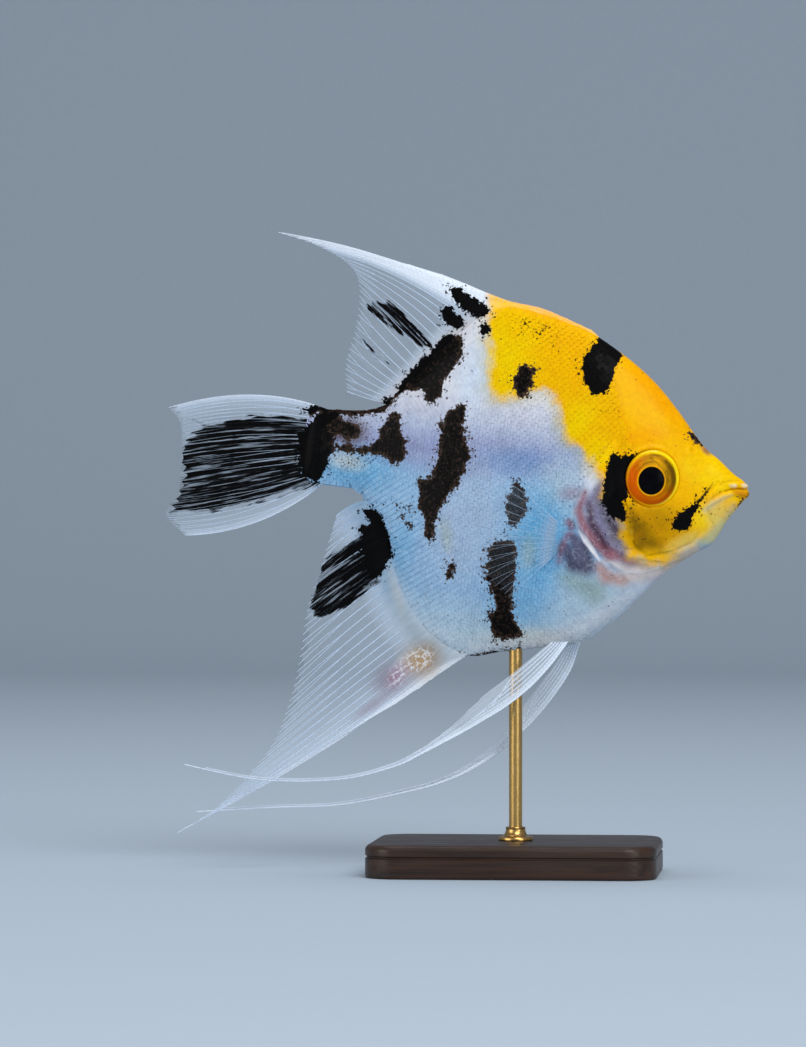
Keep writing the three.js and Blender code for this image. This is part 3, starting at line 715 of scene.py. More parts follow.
    freckle_patches: tuple[tuple[Knots, float], ...] = (
        (((31, 24.4, 2), (36.5, 22.8, 1.6), (38, 21.6, 1)), 0.1),
        (((45.6, 12.2, 1), (48.6, 12, 1.4)), 0.16),
        (((33.4, 10, 1), (34.6, 8.6, 1)), 0.1),
        (((57.6, 6.2, 1.5), (60.5, 7.2, 1)), 0.04),
        (((55, -8, 2), (60, -9.4, 2.4), (62.6, -6, 1.4)), 0.06),
        (((70.6, -4.6, 1.6), (73.4, -3.4, 0.8)), 0.12),
        (((-0.6, 3, 1.4), (3.4, 4.4, 0.8), (5.6, 3.6, 1.2)), 0.5),
        (((8, -2.4, 0.8), (4.6, -3.2, 1), (0.6, -4.4, 1.6)), 0.5),
        (((9, -9, 1.2), (11, -11, 1.8)), 0.1),
    )

    def fields(self, x: Array, z: Array, side: Array, level: Array) -> Carried:
        """The pattern at points of the flank. The left side wears it a little shifted.

        Args:
            x: the points' x.
            z: the points' z.
            side: 1 on the left and -1 on the right.
            level: -1 at the belly's edge and 1 at the back's.

        Returns:
            ground and gold, the pale and the yellow colours; warm and dark, millimetres inside the
            yellow and the black; soot, how solid the black is; and freckle, the chance of a speck.
        """
        shift = np.where(side > 0, 1 - np.abs(level) ** 6, 0) * step(62, 50, x)
        sx = x + shift * (1.5 * np.sin(z / 6.2 + 1) + 0.9 * np.sin(x / 7.5))
        sz = z + shift * 1.6 * np.sin(x / 7 + 2)
        ground, gold = self.ground(x, z), self.gold(x, z)
        dark, soot = self.black(sx, sz)
        freckle = np.zeros(np.shape(x))
        for chain, chance in self.freckle_patches:
            freckle = np.maximum(freckle, chance * step(-0.8, 0.6, chain_depth(chain, sx, sz)))
        warm = region_depth(self.yellow, sx, sz)
        return {"ground": ground, "gold": gold, "warm": warm, "dark": dark, "soot": soot, "freckle": freckle}

    def ground(self, x: Array, z: Array) -> Array:
        """The pale ground at points of the flank, with painted shade along the middle of the flank, painted
        light along the belly's edge and the chest, and a painted highlight on the gill cover's edge.

        Args:
            x: the points' x.
            z: the points' z.

        Returns:
            Linear colours.
        """
        heights = np.array([height for height, _ in self.ground_bands])
        tints = np.array([tint.rgb for _, tint in self.ground_bands])
        bands = np.stack([np.interp(z, heights, tints[:, k]) for k in range(3)], -1)
        return washed(bands, self.ground_washes, x, z)

    def gold(self, x: Array, z: Array) -> Array:
        """The yellow's linear colours at points of the flank, with painted highlights on the upper lip and
        painted shade in the mouth's slit.
        """
        return washed(np.broadcast_to(Tint.AMBER.rgb, (*np.shape(x), 3)), self.yellow_washes, x, z)

    def black(self, x: Array, z: Array) -> tuple[Array, Array]:
        """The black marks at points of the flank.

        Args:
            x: the points' x.
            z: the points' z.

        Returns:
            Millimetres inside the nearest mark, and how solid that mark is.
        """
        dark = np.full(np.shape(x), -50.0)
        soot = np.ones(np.shape(x))
        for blotch in self.blotches:
            depth = blotch.depth(x, z)
            soot = np.where(depth > dark, blotch.soot, soot)
            dark = np.maximum(dark, depth)
        return dark, soot


# ---- meshes ----


def quad_rows(rows: int, columns: int, closed: bool = False) -> Array:
    """The quads of a grid whose vertices run row by row.

    Args:
        rows: how many rows of vertices.
        columns: how many vertices in a row.
        closed: whether each row's end joins its start.

    Returns:
        Four vertex numbers for each quad.
    """
    across = columns if closed else columns - 1
    i, j = np.meshgrid(np.arange(rows - 1), np.arange(across), indexing="ij")
    near, far = i * columns + j, i * columns + (j + 1) % columns
    return np.stack([near, far, far + columns, near + columns], -1).reshape(-1, 4)


@dataclass
class Shape:
    """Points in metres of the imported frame, the faces between them, and what each point carries."""

    points: Array
    faces: list[list[int]]
    carried: Carried

    @classmethod
    def merged(cls, shapes: list["Shape"]) -> "Shape":
        """Several shapes as one.

        Args:
            shapes: at least one, all carrying the same names.

        Returns:
            The joined shape.
        """
        starts = np.cumsum([0] + [len(shape.points) for shape in shapes])
        owners = zip(starts.tolist(), shapes)
        faces = [[k + start for k in face] for start, shape in owners for face in shape.faces]
        names = shapes[0].carried
        carried = {name: np.concatenate([shape.carried[name] for shape in shapes]) for name in names}
        return cls(np.concatenate([shape.points for shape in shapes]), faces, carried)


def stacked(rings: Array, carried: Carried) -> Shape:
    """A closed shape from rings of points in order, capped at both ends.

    Args:
        rings: one row of points for each ring.
        carried: what each point carries.

    Returns:
        The shape.
    """
    rows, columns = rings.shape[:2]
    caps = [list(range(columns))[::-1], list(range((rows - 1) * columns, rows * columns))]
    return Shape(rings.reshape(-1, 3), quad_rows(rows, columns, closed=True).tolist() + caps, carried)


def rim_of(rows: int, columns: int) -> list[int]:
    """The outer vertices of a grid, in order round it.

    Args:
        rows: how many rows of vertices.
        columns: how many vertices in a row.

    Returns:
        Their numbers.
    """
    top = [(0, j) for j in range(columns)]
    right = [(i, columns - 1) for i in range(1, rows)]
    low = [(rows - 1, j) for j in range(columns - 2, -1, -1)]
    left = [(i, 0) for i in range(rows - 2, 0, -1)]
    return [i * columns + j for i, j in top + right + low + left]


def linked(name: str, data: bpy.types.ID) -> bpy.types.Object:
    """Puts an object into the scene.

    Args:
        name: its name.
        data: the mesh, lamp or camera that it shows.

    Returns:
        The object.
    """
    made = bpy.data.objects.new(name, data)
    bpy.context.scene.collection.objects.link(made)
    return made


def make_piece(
    name: str, shape: Shape, material: Material, crease: float = 50
) -> bpy.types.Object:
    """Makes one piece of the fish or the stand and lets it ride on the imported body.

    Args:
        name: the piece's name.
        shape: its points, faces and carried values.
        material: its finish.
        crease: the angle, in degrees, above which an edge is drawn sharp.

    Returns:
        The new object.
    """
    mesh = bpy.data.meshes.new(name)
    mesh.from_pydata(shape.points.tolist(), [], shape.faces)
    kinds = {1: ("FLOAT", "value"), 3: ("FLOAT_COLOR", "color")}
    for title, values in shape.carried.items():
        width = 1 if values.ndim == 1 else values.shape[1]
        kind, field_name = ("FLOAT_VECTOR", "vector") if title == "way" else kinds[width]
        if field_name == "color":
            values = np.concatenate([values, np.ones((len(values), 1))], 1)
        layer = mesh.attributes.new(title, kind, "POINT")
        layer.data.foreach_set(field_name, values.astype(np.float32).ravel())
    mesh.materials.append(material)
    mesh.validate()
    mesh.shade_smooth()
    mesh.set_sharp_from_angle(angle=math.radians(crease))
    piece = linked(name, mesh)
    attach(piece, BODY_ROW)
    LOG.info("%s: %d vertices, %d faces", name, len(mesh.vertices), len(mesh.polygons))
    return piece


def tube(line: Array, radii: Array, carried: Carried) -> Shape:
    """A closed six-sided tube.

    Args:
        line: the points of the line that it follows, which never runs along y.
        radii: its radius at each.
        carried: what each carries.

    Returns:
        The tube.
    """
    sides = 6
    ahead = unit(np.gradient(line, axis=0))
    across = unit(np.cross(ahead, (0.0, 1.0, 0.0)))
    up = np.cross(across, ahead)
    turn = np.arange(sides) * 2 * math.pi / sides
    ring = across[:, None] * np.cos(turn)[None, :, None] + up[:, None] * np.sin(turn)[None, :, None]
    body = line[:, None] + ring * radii[:, None, None]
    owner = np.concatenate([np.repeat(np.arange(len(line)), sides), [0, len(line) - 1]])
    faces = quad_rows(len(line), sides, closed=True).tolist()
    end = len(line) * sides
    for j in range(sides):
        k = (j + 1) % sides
        faces += [[end, k, j], [end + 1, end - sides + j, end - sides + k]]
    points = np.concatenate([body.reshape(-1, 3), line[[0, -1]]])
    return Shape(points, faces, {key: value[owner] for key, value in carried.items()})


def thin_sheet(grid: Array, half: Array, carried: Carried) -> Shape:
    """A closed sheet of small thickness.

    Args:
        grid: rows and columns of points in its middle.
        half: half the thickness at each.
        carried: what each carries.

    Returns:
        The sheet.
    """
    rows, columns = grid.shape[:2]
    out = unit(np.cross(np.gradient(grid, axis=1), np.gradient(grid, axis=0))) * half[..., None]
    points = np.stack([grid + out, grid - out]).reshape(-1, 3)
    count = rows * columns
    front = quad_rows(rows, columns)
    rim = rim_of(rows, columns)
    edges = [[b, a, a + count, b + count] for a, b in zip(rim, rim[1:] + rim[:1])]
    faces = front.tolist() + (front[:, ::-1] + count).tolist() + edges
    return Shape(points, faces, {key: np.concatenate([value, value]) for key, value in carried.items()})


# ---- finishes ----


class Finish:
    """A material being made: a Principled shader and the nodes that feed it."""

    def __init__(self, name: str, **sockets: float | tuple[float, ...]) -> None:
        """Starts the material.

        Args:
            name: its name.
            **sockets: the shader's constant sockets, with _ for a space.
        """
        self.material = bpy.data.materials.new(name)
        self.material.use_nodes = True
        self.tree = self.material.node_tree
        self.shader = self.tree.nodes["Principled BSDF"]
        for socket, value in sockets.items():
            self.shader.inputs[socket.replace("_", " ")].default_value = value

    def node(self, kind: str, settings: dict[str, object], **feeds: object) -> bpy.types.Node:
        """Adds a node.

        Args:
            kind: its type, without ShaderNode.
            settings: its own properties.
            **feeds: its inputs by name, or by i and a number: a socket to link, a tint or a constant.

        Returns:
            The node.
        """
        made = self.tree.nodes.new("ShaderNode" + kind)
        for key, value in settings.items():
            setattr(made, key, value)
        for key, value in feeds.items():
            place = int(key[1:]) if key[0] == "i" and key[1:].isdigit() else key.replace("_", " ")
            if isinstance(value, Socket):
                self.tree.links.new(value, made.inputs[place])
            else:
                made.inputs[place].default_value = value.rgba if isinstance(value, Tint) else value
        return made

    def feed(self, socket: str, source: Socket) -> None:
        """Links a socket of the shader to what drives it."""
        self.tree.links.new(source, self.shader.inputs[socket])

    def carried(self, name: str, output: str = "Fac") -> Socket:
        """A value that the mesh carries."""
        return self.node("Attribute", {"attribute_name": name}).outputs[output]

    def millimetres(self, stretch: tuple[float, float, float] = (1, 1, 1)) -> Socket:
        """The place on the object in millimetres, stretched along its axes."""
        return self.stretched(self.node("TexCoord", {}).outputs["Object"], *(k / MM for k in stretch))

    def stretched(self, place: Socket, *stretch: float) -> Socket:
        """A place stretched along its axes."""
        return self.node("VectorMath", {"operation": "MULTIPLY"}, i0=place, i1=stretch).outputs[0]

    def noise(
        self, place: Socket, scale: float, detail: float = 2, rough: float = 0.5, bend: float = 0
    ) -> Socket:
        """Soft noise from about 0.2 to 0.8, with `scale` lumps to the millimetre."""
        feeds = {"Vector": place, "Scale": scale, "Detail": detail, "Roughness": rough, "Distortion": bend}
        return self.node("TexNoise", {}, **feeds).outputs[0]

    def sum(self, a: object, b: object, operation: str = "ADD") -> Socket:
        """One sum of two numbers, by default an addition."""
        return self.node("Math", {"operation": operation}, i0=a, i1=b).outputs[0]

    def less(self, a: object, b: object) -> Socket:
        """The first number less the second."""
        return self.sum(a, b, "SUBTRACT")

    def times(self, a: object, b: object) -> Socket:
        """Two numbers multiplied."""
        return self.sum(a, b, "MULTIPLY")

    def most(self, a: object, b: object) -> Socket:
        """The larger of two numbers."""
        return self.sum(a, b, "MAXIMUM")

    def span(self, value: Socket, low: float, high: float, out: tuple[float, float] = (0, 1)) -> Socket:
        """A smooth change from out's first number at low to its second at high."""
        feeds = {"Value": value, "From_Min": low, "From_Max": high, "To_Min": out[0], "To_Max": out[1]}
        return self.node("MapRange", {"interpolation_type": "SMOOTHSTEP"}, **feeds).outputs[0]

    def mix(self, share: object, a: object, b: object, blend: str = "MIX") -> Socket:
        """Two colours mixed: a where share is 0, and b, or a blended with b, where it is 1."""
        settings = {"data_type": "RGBA", "blend_type": blend, "clamp_factor": True}
        return self.node("Mix", settings, i0=share, i6=a, i7=b).outputs[2]

    def ragged(self, place: Socket, depth: Socket) -> tuple[Socket, Socket, bpy.types.Node]:
        """A mark with a ragged edge and loose dots round it.

        Args:
            place: the place in millimetres.
            depth: millimetres inside the mark's plain outline.

        Returns:
            How deep each point lies below the mark's cells, how far it is covered, and the stirred place.
        """
        loose = self.span(self.carried("soot"), 0.9, 1.0, (2.8, 1.7))
        wander = self.wander(self.noise(place, 0.62, 3, 0.58), loose)
        edge = self.sum(self.sum(depth, 0.3), wander)
        stir = self.node("TexNoise", {}, Vector=place, Scale=2.2, Detail=2.0)
        colour = stir.outputs["Color"]
        bent = self.node("VectorMath", {"operation": "MULTIPLY_ADD"}, i0=colour, i1=(1, 1, 1), i2=place)
        cells = self.node("TexVoronoi", {}, Vector=bent.outputs[0], Scale=1.9)
        luck = self.node("SeparateColor", {}, i0=cells.outputs["Color"])
        reach = self.times(self.sum(luck.outputs[0], 5.0, "POWER"), 1.1)
        near = self.span(self.sum(edge, reach), 0.0, 0.12)
        dots = self.times(near, self.span(cells.outputs["Distance"], 0.5, 0.34))
        bays = self.less(edge, self.times(cells.outputs["Distance"], 0.7))
        deep = self.less(edge, self.times(cells.outputs["Distance"], 1.5))
        return deep, self.most(self.span(bays, -0.1, 0.1), dots), bent

    def wander(self, noise: Socket, reach: float | Socket) -> Socket:
        """Noise set round zero, with its reach."""
        return self.times(self.less(noise, 0.5), reach)

    def bump(self, height: Socket, distance: float, strength: float = 1.0, **under: Socket) -> Socket:
        """A normal bumped by `distance` millimetres of height, over the Normal given, if any."""
        feeds = {"Height": height, "Distance": distance * MM, "Strength": strength}
        return self.node("Bump", {}, **feeds, **under).outputs[0]


@dataclass(frozen=True)
class SkinFinish:
    """Wet, pearly fish skin with the calico pattern, and painted highlights along the scales' free rims. The
    scales wear it too.
    """

    name: str
    gloss: float = 0.42
    coat: float = 0.03
    grain: float = 0.035

    def material(self) -> Material:
        """Makes the finish.

        Returns:
            The material.
        """
        f = Finish(self.name, Coat_Weight=self.coat, Coat_Roughness=0.14, Specular_IOR_Level=0.03,
                   Subsurface_Weight=0.12, Subsurface_Radius=(1.0, 0.7, 0.6), Subsurface_Scale=0.0012)
        place = f.millimetres((1, 0.6, 1))
        pale = self.pale(f, place)
        gold = self.gold(f, place)
        warm = f.sum(f.carried("warm"), f.wander(f.noise(place, 0.32, 3), 4.2))
        skin = f.mix(f.span(warm, -1.4, 0.9), pale, gold)
        skin = f.mix(f.span(warm, -3.2, -0.3, (0, 0.4)), skin, Tint.STRAW, "MULTIPLY")
        deep, mask = self.black(f, place)
        flecks = f.noise(place, 1.9, 3, 0.6)
        webs = f.most(f.span(deep, 0.4, -0.4), f.span(flecks, 0.52, 0.66, (0.02, 0.55)))
        brown = f.times(webs, f.span(f.carried("soot"), 1.0, 0.8))
        soot = f.mix(brown, Tint.INK, Tint.UMBER)
        firm = f.most(f.span(f.carried("soot"), 0.4, 0.74), f.span(flecks, 0.56, 0.44))
        solid = f.times(mask, firm)
        f.feed("Base Color", f.mix(solid, skin, soot))
        dull = f.sum(f.span(f.noise(place, 1.1, 3), 0.3, 0.7, (-0.07, 0.09)), self.gloss)
        f.feed("Roughness", f.sum(dull, f.times(solid, 0.12)))
        fine = f.bump(f.noise(place, 5.5, 2, 0.6), self.grain)
        f.feed("Normal", f.bump(f.noise(place, 1.3, 2, 0.5, 0.8), self.grain * 1.4, 0.8, Normal=fine))
        return f.material

    def pale(self, f: Finish, place: Socket) -> Socket:
        """The pale ground: its tint, pearly clouds, fine bright curls, and painted highlights along the
        scales' free rims.

        Args:
            f: the material being made.
            place: the place in millimetres.

        Returns:
            The colour.
        """
        clouds = f.span(f.noise(place, 0.22, 3), 0.34, 0.66, (0, 0.16))
        tint = f.mix(clouds, f.carried("ground", "Color"), Tint.FROST, "OVERLAY")
        curl = f.less(f.noise(place, 0.9, 0, 0.5, 0.8), 0.5)
        lines = f.span(f.sum(curl, 0.0, "ABSOLUTE"), 0.05, 0.0, (0, 0.13))
        patches = f.noise(place, 0.8, 2)
        shaded = f.mix(f.span(patches, 0.6, 0.36, (0, 0.14)), tint, Tint.SLATE, "MULTIPLY")
        lit = f.mix(lines, shaded, Tint.FIN_MILK)
        some = f.span(patches, 0.46, 0.62, (0.25, 1))
        # Painted highlights: the scales' free rims are lightened towards white.
        rim_highlights = f.times(f.span(f.carried("rim"), 0.5, 1.0, (0, 0.26)), some)
        return f.mix(rim_highlights, lit, Tint.FIN_MILK)

    def gold(self, f: Finish, place: Socket) -> Socket:
        """The yellow: its tint with orange clouds, fine streaks, and painted highlights along the scales'
        free rims.

        Args:
            f: the material being made.
            place: the place in millimetres.

        Returns:
            The colour.
        """
        clouds = f.span(f.noise(place, 0.3, 3), 0.42, 0.7, (0, 0.22))
        tint = f.mix(clouds, f.carried("gold", "Color"), Tint.MARIGOLD)
        streaks = f.span(f.noise(place, 1.3, 3, 0.62, 1.0), 0.6, 0.38, (0, 0.16))
        shaded = f.mix(streaks, tint, Tint.MUSTARD, "MULTIPLY")
        # Painted highlights: the scales' free rims are lightened towards straw.
        return f.mix(f.span(f.carried("rim"), 0.4, 1.0, (0, 0.14)), shaded, Tint.STRAW)

    def black(self, f: Finish, place: Socket) -> tuple[Socket, Socket]:
        """The black: ragged marks, and freckles.

        Args:
            f: the material being made.
            place: the place in millimetres.

        Returns:
            How deep each point lies below the marks' cells, and how far it is black.
        """
        deep, marks, bent = f.ragged(place, f.carried("dark"))
        fine = f.node("TexVoronoi", {}, Vector=bent.outputs[0], Scale=2.6)
        pick = f.node("SeparateColor", {}, i0=fine.outputs["Color"])
        chosen = f.span(f.sum(pick.outputs[1], f.carried("freckle")), 0.985, 1.0)
        specks = f.times(chosen, f.span(fine.outputs["Distance"], 0.44, 0.3))
        return deep, f.most(marks, specks)


@dataclass(frozen=True)
class WebFinish:
    """The clear web between a fin's rays, milky along its leading edge and black where it is marked."""

    name: str
    clear: float = 0.05

    def material(self) -> Material:
        """Makes the finish.

        Returns:
            The material.
        """
        f = Finish(self.name, Roughness=0.4, Specular_IOR_Level=0.04)
        way = f.carried("way", "Vector")
        stretched = f.stretched(way, 1.5, 0.17, 1)
        grain = f.noise(stretched, 1.0, 4, 0.6)
        streaks = f.span(f.sum(f.carried("dark"), f.wander(grain, 4.4)), -0.2, 0.4)
        windows = f.span(f.noise(f.stretched(way, 3.0, 0.1, 1), 1.0, 3, 0.6), 0.36, 0.46, (0.6, 1))
        _, solid, bent = f.ragged(f.millimetres((1, 0.3, 1)), f.carried("blot"))
        black = f.most(f.times(streaks, windows), solid)
        tint = f.mix(f.span(grain, 0.3, 0.7, (0, 0.15)), f.carried("ground", "Color"), Tint.FIN_MILK)
        cells = f.node("TexVoronoi", {"feature": "DISTANCE_TO_EDGE"}, Vector=bent.outputs[0], Scale=0.75)
        strands = f.times(f.span(cells.outputs["Distance"], 0.1, 0.03, (0, 0.6)), f.carried("net"))
        tint = f.mix(strands, tint, Tint.FIN_MILK)
        f.feed("Base Color", f.mix(black, tint, Tint.INK))
        clear = f.span(grain, 0.3, 0.7, (self.clear * 0.6, self.clear * 1.5))
        pale = f.most(f.most(clear, f.carried("milk")), strands)
        f.feed("Alpha", f.most(pale, black))
        f.feed("Normal", f.bump(f.noise(f.stretched(way, 5.0, 0.3, 1), 1.0, 2), 0.08))
        return f.material


@dataclass(frozen=True)
class RayFinish:
    """The bony rays: pale, jointed, and smoked where they cross a black mark."""

    name: str
    solid: float = 0.85
    smoked: float = 0.97
    joint: float = 0.95

    def material(self) -> Material:
        """Makes the finish.

        Returns:
            The material.
        """
        f = Finish(self.name, Roughness=0.45, Specular_IOR_Level=0.04,
                   Subsurface_Weight=0.1, Subsurface_Radius=(1.0, 0.9, 0.8), Subsurface_Scale=0.0008)
        way = f.carried("way", "Vector")
        parts = f.node("SeparateXYZ", {}, i0=way)
        beat = f.sum(f.times(parts.outputs[1], 2 * math.pi / self.joint), 0.0, "SINE")
        joints = f.span(beat, 0.7, 0.98, (0, 0.5))
        pale = f.mix(joints, f.carried("ground", "Color"), Tint.FIN_BLUE)
        grain = f.noise(f.stretched(way, 1.3, 0.4, 1), 1.0, 4, 0.6)
        streaks = f.span(f.sum(f.carried("dark"), f.wander(grain, 4.0)), -0.1, 0.6)
        bundles = f.noise(f.stretched(way, 0.9, 0.025, 1), 1.0, 2)
        spared = f.span(bundles, 0.53, 0.44, (self.smoked * 0.35, self.smoked))
        _, solid, _ = f.ragged(f.millimetres((1, 0.3, 1)), f.carried("blot"))
        smoke = f.most(f.times(streaks, spared), solid)
        f.feed("Base Color", f.mix(smoke, pale, Tint.INK))
        f.feed("Alpha", f.span(f.carried("milk"), 0.0, 0.6, (self.solid, 1.0)))
        return f.material


@dataclass(frozen=True)
class IrisFinish:
    """The iris: orange and brown with fine radial fibres, and a gold ring round the pupil."""

    name: str

    def material(self) -> Material:
        """Makes the finish.

        Returns:
            The material.
        """
        f = Finish(self.name, Roughness=0.5, Specular_IOR_Level=0.03)
        spokes = f.stretched(f.carried("way", "Vector"), 0.42, 0.42, 5.5)
        fibres = f.noise(spokes, 1.0, 4, 0.65, 0.6)
        shade = f.times(f.span(fibres, 0.56, 0.38), f.carried("dark"))
        tint = f.mix(shade, f.carried("ground", "Color"), Tint.IRIS_OLIVE)
        glints = f.span(f.noise(spokes, 2.7, 3, 0.7), 0.6, 0.76, (0, 0.3))
        f.feed("Base Color", f.mix(glints, tint, Tint.IRIS_GOLD))
        f.feed("Normal", f.bump(fibres, 0.05))
        return f.material


@dataclass(frozen=True)
class PupilFinish:
    """The pupil: the front of a deep black lens."""

    name: str

    def material(self) -> Material:
        """Makes the finish.

        Returns:
            The material.
        """
        f = Finish(self.name, Roughness=0.12, Specular_IOR_Level=0.02)
        depth = f.noise(f.millimetres(), 1.2, 2)
        f.feed("Base Color", f.mix(depth, (0.001, 0.001, 0.0015, 1), (0.004, 0.004, 0.006, 1)))
        return f.material


@dataclass(frozen=True)
class CorneaFinish:
    """The clear front of the eye, seen only by what it mirrors."""

    name: str

    def material(self) -> Material:
        """Makes the finish.

        Returns:
            The material.
        """
        f = Finish(self.name, Base_Color=(1, 1, 1, 1), Metallic=1.0, Roughness=0.04)
        mirror = f.node("Fresnel", {}, IOR=1.34).outputs[0]
        f.feed("Alpha", f.span(mirror, 0.0, 1.0, (0.0, 0.08)))
        return f.material


@dataclass(frozen=True)
class WoodFinish:
    """Dark, oiled hardwood with fine grain along the foot."""

    name: str

    def material(self) -> Material:
        """Makes the finish.

        Returns:
            The material.
        """
        f = Finish(self.name, Coat_Weight=0.12, Coat_Roughness=0.2, Specular_IOR_Level=0.3)
        warp = f.noise(f.millimetres((0.03, 0.08, 0.08)), 1.0, 3)
        lengths = f.millimetres((0.045, 0.8, 0.8))
        figure = f.noise(lengths, 0.55, 5, 0.62, 0.6)
        pores = f.noise(f.millimetres((0.12, 2.6, 2.6)), 1.0, 3, 0.7)
        tint = f.mix(f.span(figure, 0.34, 0.66), Tint.WALNUT_DEEP, Tint.WALNUT)
        tint = f.mix(f.span(warp, 0.4, 0.7, (0, 0.4)), tint, Tint.UMBER)
        f.feed("Base Color", f.mix(f.span(pores, 0.56, 0.7, (0, 0.7)), tint, Tint.WALNUT_DEEP))
        f.feed("Roughness", f.span(pores, 0.3, 0.7, (0.34, 0.56)))
        f.feed("Normal", f.bump(pores, 0.05, 0.8))
        return f.material


@dataclass(frozen=True)
class BrassFinish:
    """Brushed brass, a little warm where it has been handled."""

    name: str
    brushed: tuple[float, float, float] = (0.5, 0.5, 14)

    def material(self) -> Material:
        """Makes the finish.

        Returns:
            The material.
        """
        f = Finish(self.name, Metallic=1.0)
        strokes = f.noise(f.millimetres(self.brushed), 1.0, 3, 0.6)
        age = f.noise(f.millimetres(), 0.35, 4, 0.6)
        tint = f.mix(f.span(age, 0.35, 0.7, (0, 0.45)), Tint.BRASS, Tint.TAN)
        f.feed("Base Color", f.mix(f.span(strokes, 0.4, 0.75, (0, 0.2)), tint, Tint.BONE))
        f.feed("Roughness", f.span(strokes, 0.3, 0.7, (0.2, 0.34)))
        f.feed("Normal", f.bump(strokes, 0.012))
        return f.material


@dataclass(frozen=True)
class StudioFinish:
    """The plain matt sweep under and behind the model."""

    name: str

    def material(self) -> Material:
        """Makes the finish.

        Returns:
            The material.
        """
        f = Finish(self.name, Roughness=0.85, Specular_IOR_Level=0.04)
        paper = f.noise(f.millimetres(), 0.4, 3)
        f.feed("Base Color", f.mix(f.span(paper, 0.2, 0.8, (0, 0.05)), Tint.STUDIO, Tint.CHALK))
        return f.material


# ---- skin and scales ----


@dataclass
class Skin:
    """One unbroken skin over head, trunk and tail stalk, with the head's fine forms pressed into it."""

    form: BodyForm
    fish: FishFrame
    markings: Markings
    inset: float = 0.08
    head_from: float = 43.0
    body_stations: int = 128
    head_stations: int = 210
    half_ring: int = 144
    bunched: float = 0.28
    tip_share: float = 0.3

    def build(self, material: Material) -> bpy.types.Object:
        """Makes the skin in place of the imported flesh.

        Args:
            material: its finish.

        Returns:
            The skin.
        """
        x, level, side = self.rings()
        plain = self.form.point(x, level, side)
        out = self.outwards(plain)
        keel = step(1.0, 0.93, np.abs(level))
        lift = self.form.relief(x, plain[..., 2]) * keel - self.inset
        grown = plain + out * lift[..., None]
        middle = grown[-1].mean(0)
        grown[-1] = middle + (grown[-1] - middle) * self.tip_share
        flat = [values.ravel() for values in (x, plain[..., 2], side, level)]
        carried = self.markings.fields(*flat) | {"rim": np.zeros(x.size)}
        shape = stacked(self.fish.place(grown), carried)
        skin = make_piece("angelfish_skin", shape, material, 70)
        flesh = (
            "head", "upper_jaw", "lower_jaw", "gill_cover_left", "gill_cover_right", "trunk", "tail_stalk",
        )
        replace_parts(skin, *flesh)
        return skin

    def rings(self) -> tuple[Array, Array, Array]:
        """The skin's vertices, in rings from the tail's root to the snout.

        Returns:
            x, level and side for each.
        """
        body = np.linspace(self.form.stalk_end, self.head_from, self.body_stations)
        lead = np.linspace(0, 1, self.head_stations + 1)[1:]
        head = self.head_from + (self.form.tip - self.head_from) * (1 - (1 - lead) ** 1.12)
        even = np.linspace(-1, 1, self.half_ring + 1)
        rise = (1 - self.bunched) * even + self.bunched * np.sin(even * math.pi / 2)
        level = np.concatenate([rise, rise[::-1][1:-1]])
        side = np.concatenate([np.ones(self.half_ring + 1), -np.ones(self.half_ring - 1)])
        x, level = np.meshgrid(np.concatenate([body, head]), level, indexing="ij")
        return x, level, np.broadcast_to(side, x.shape)

    @staticmethod
    def outwards(points: Array) -> Array:
        """The outward directions of rings that close on themselves.

        Args:
            points: the rings' points.

        Returns:
            A unit vector for each.
        """
        round_it = np.roll(points, -1, 1) - np.roll(points, 1, 1)
        out = unit(np.cross(np.gradient(points, axis=0), round_it))
        from_middle = (points - points.mean(1, keepdims=True)) * (0, 1, 0.05)
        return out * np.where(np.sum(out * from_middle, -1, keepdims=True) < 0, -1, 1)


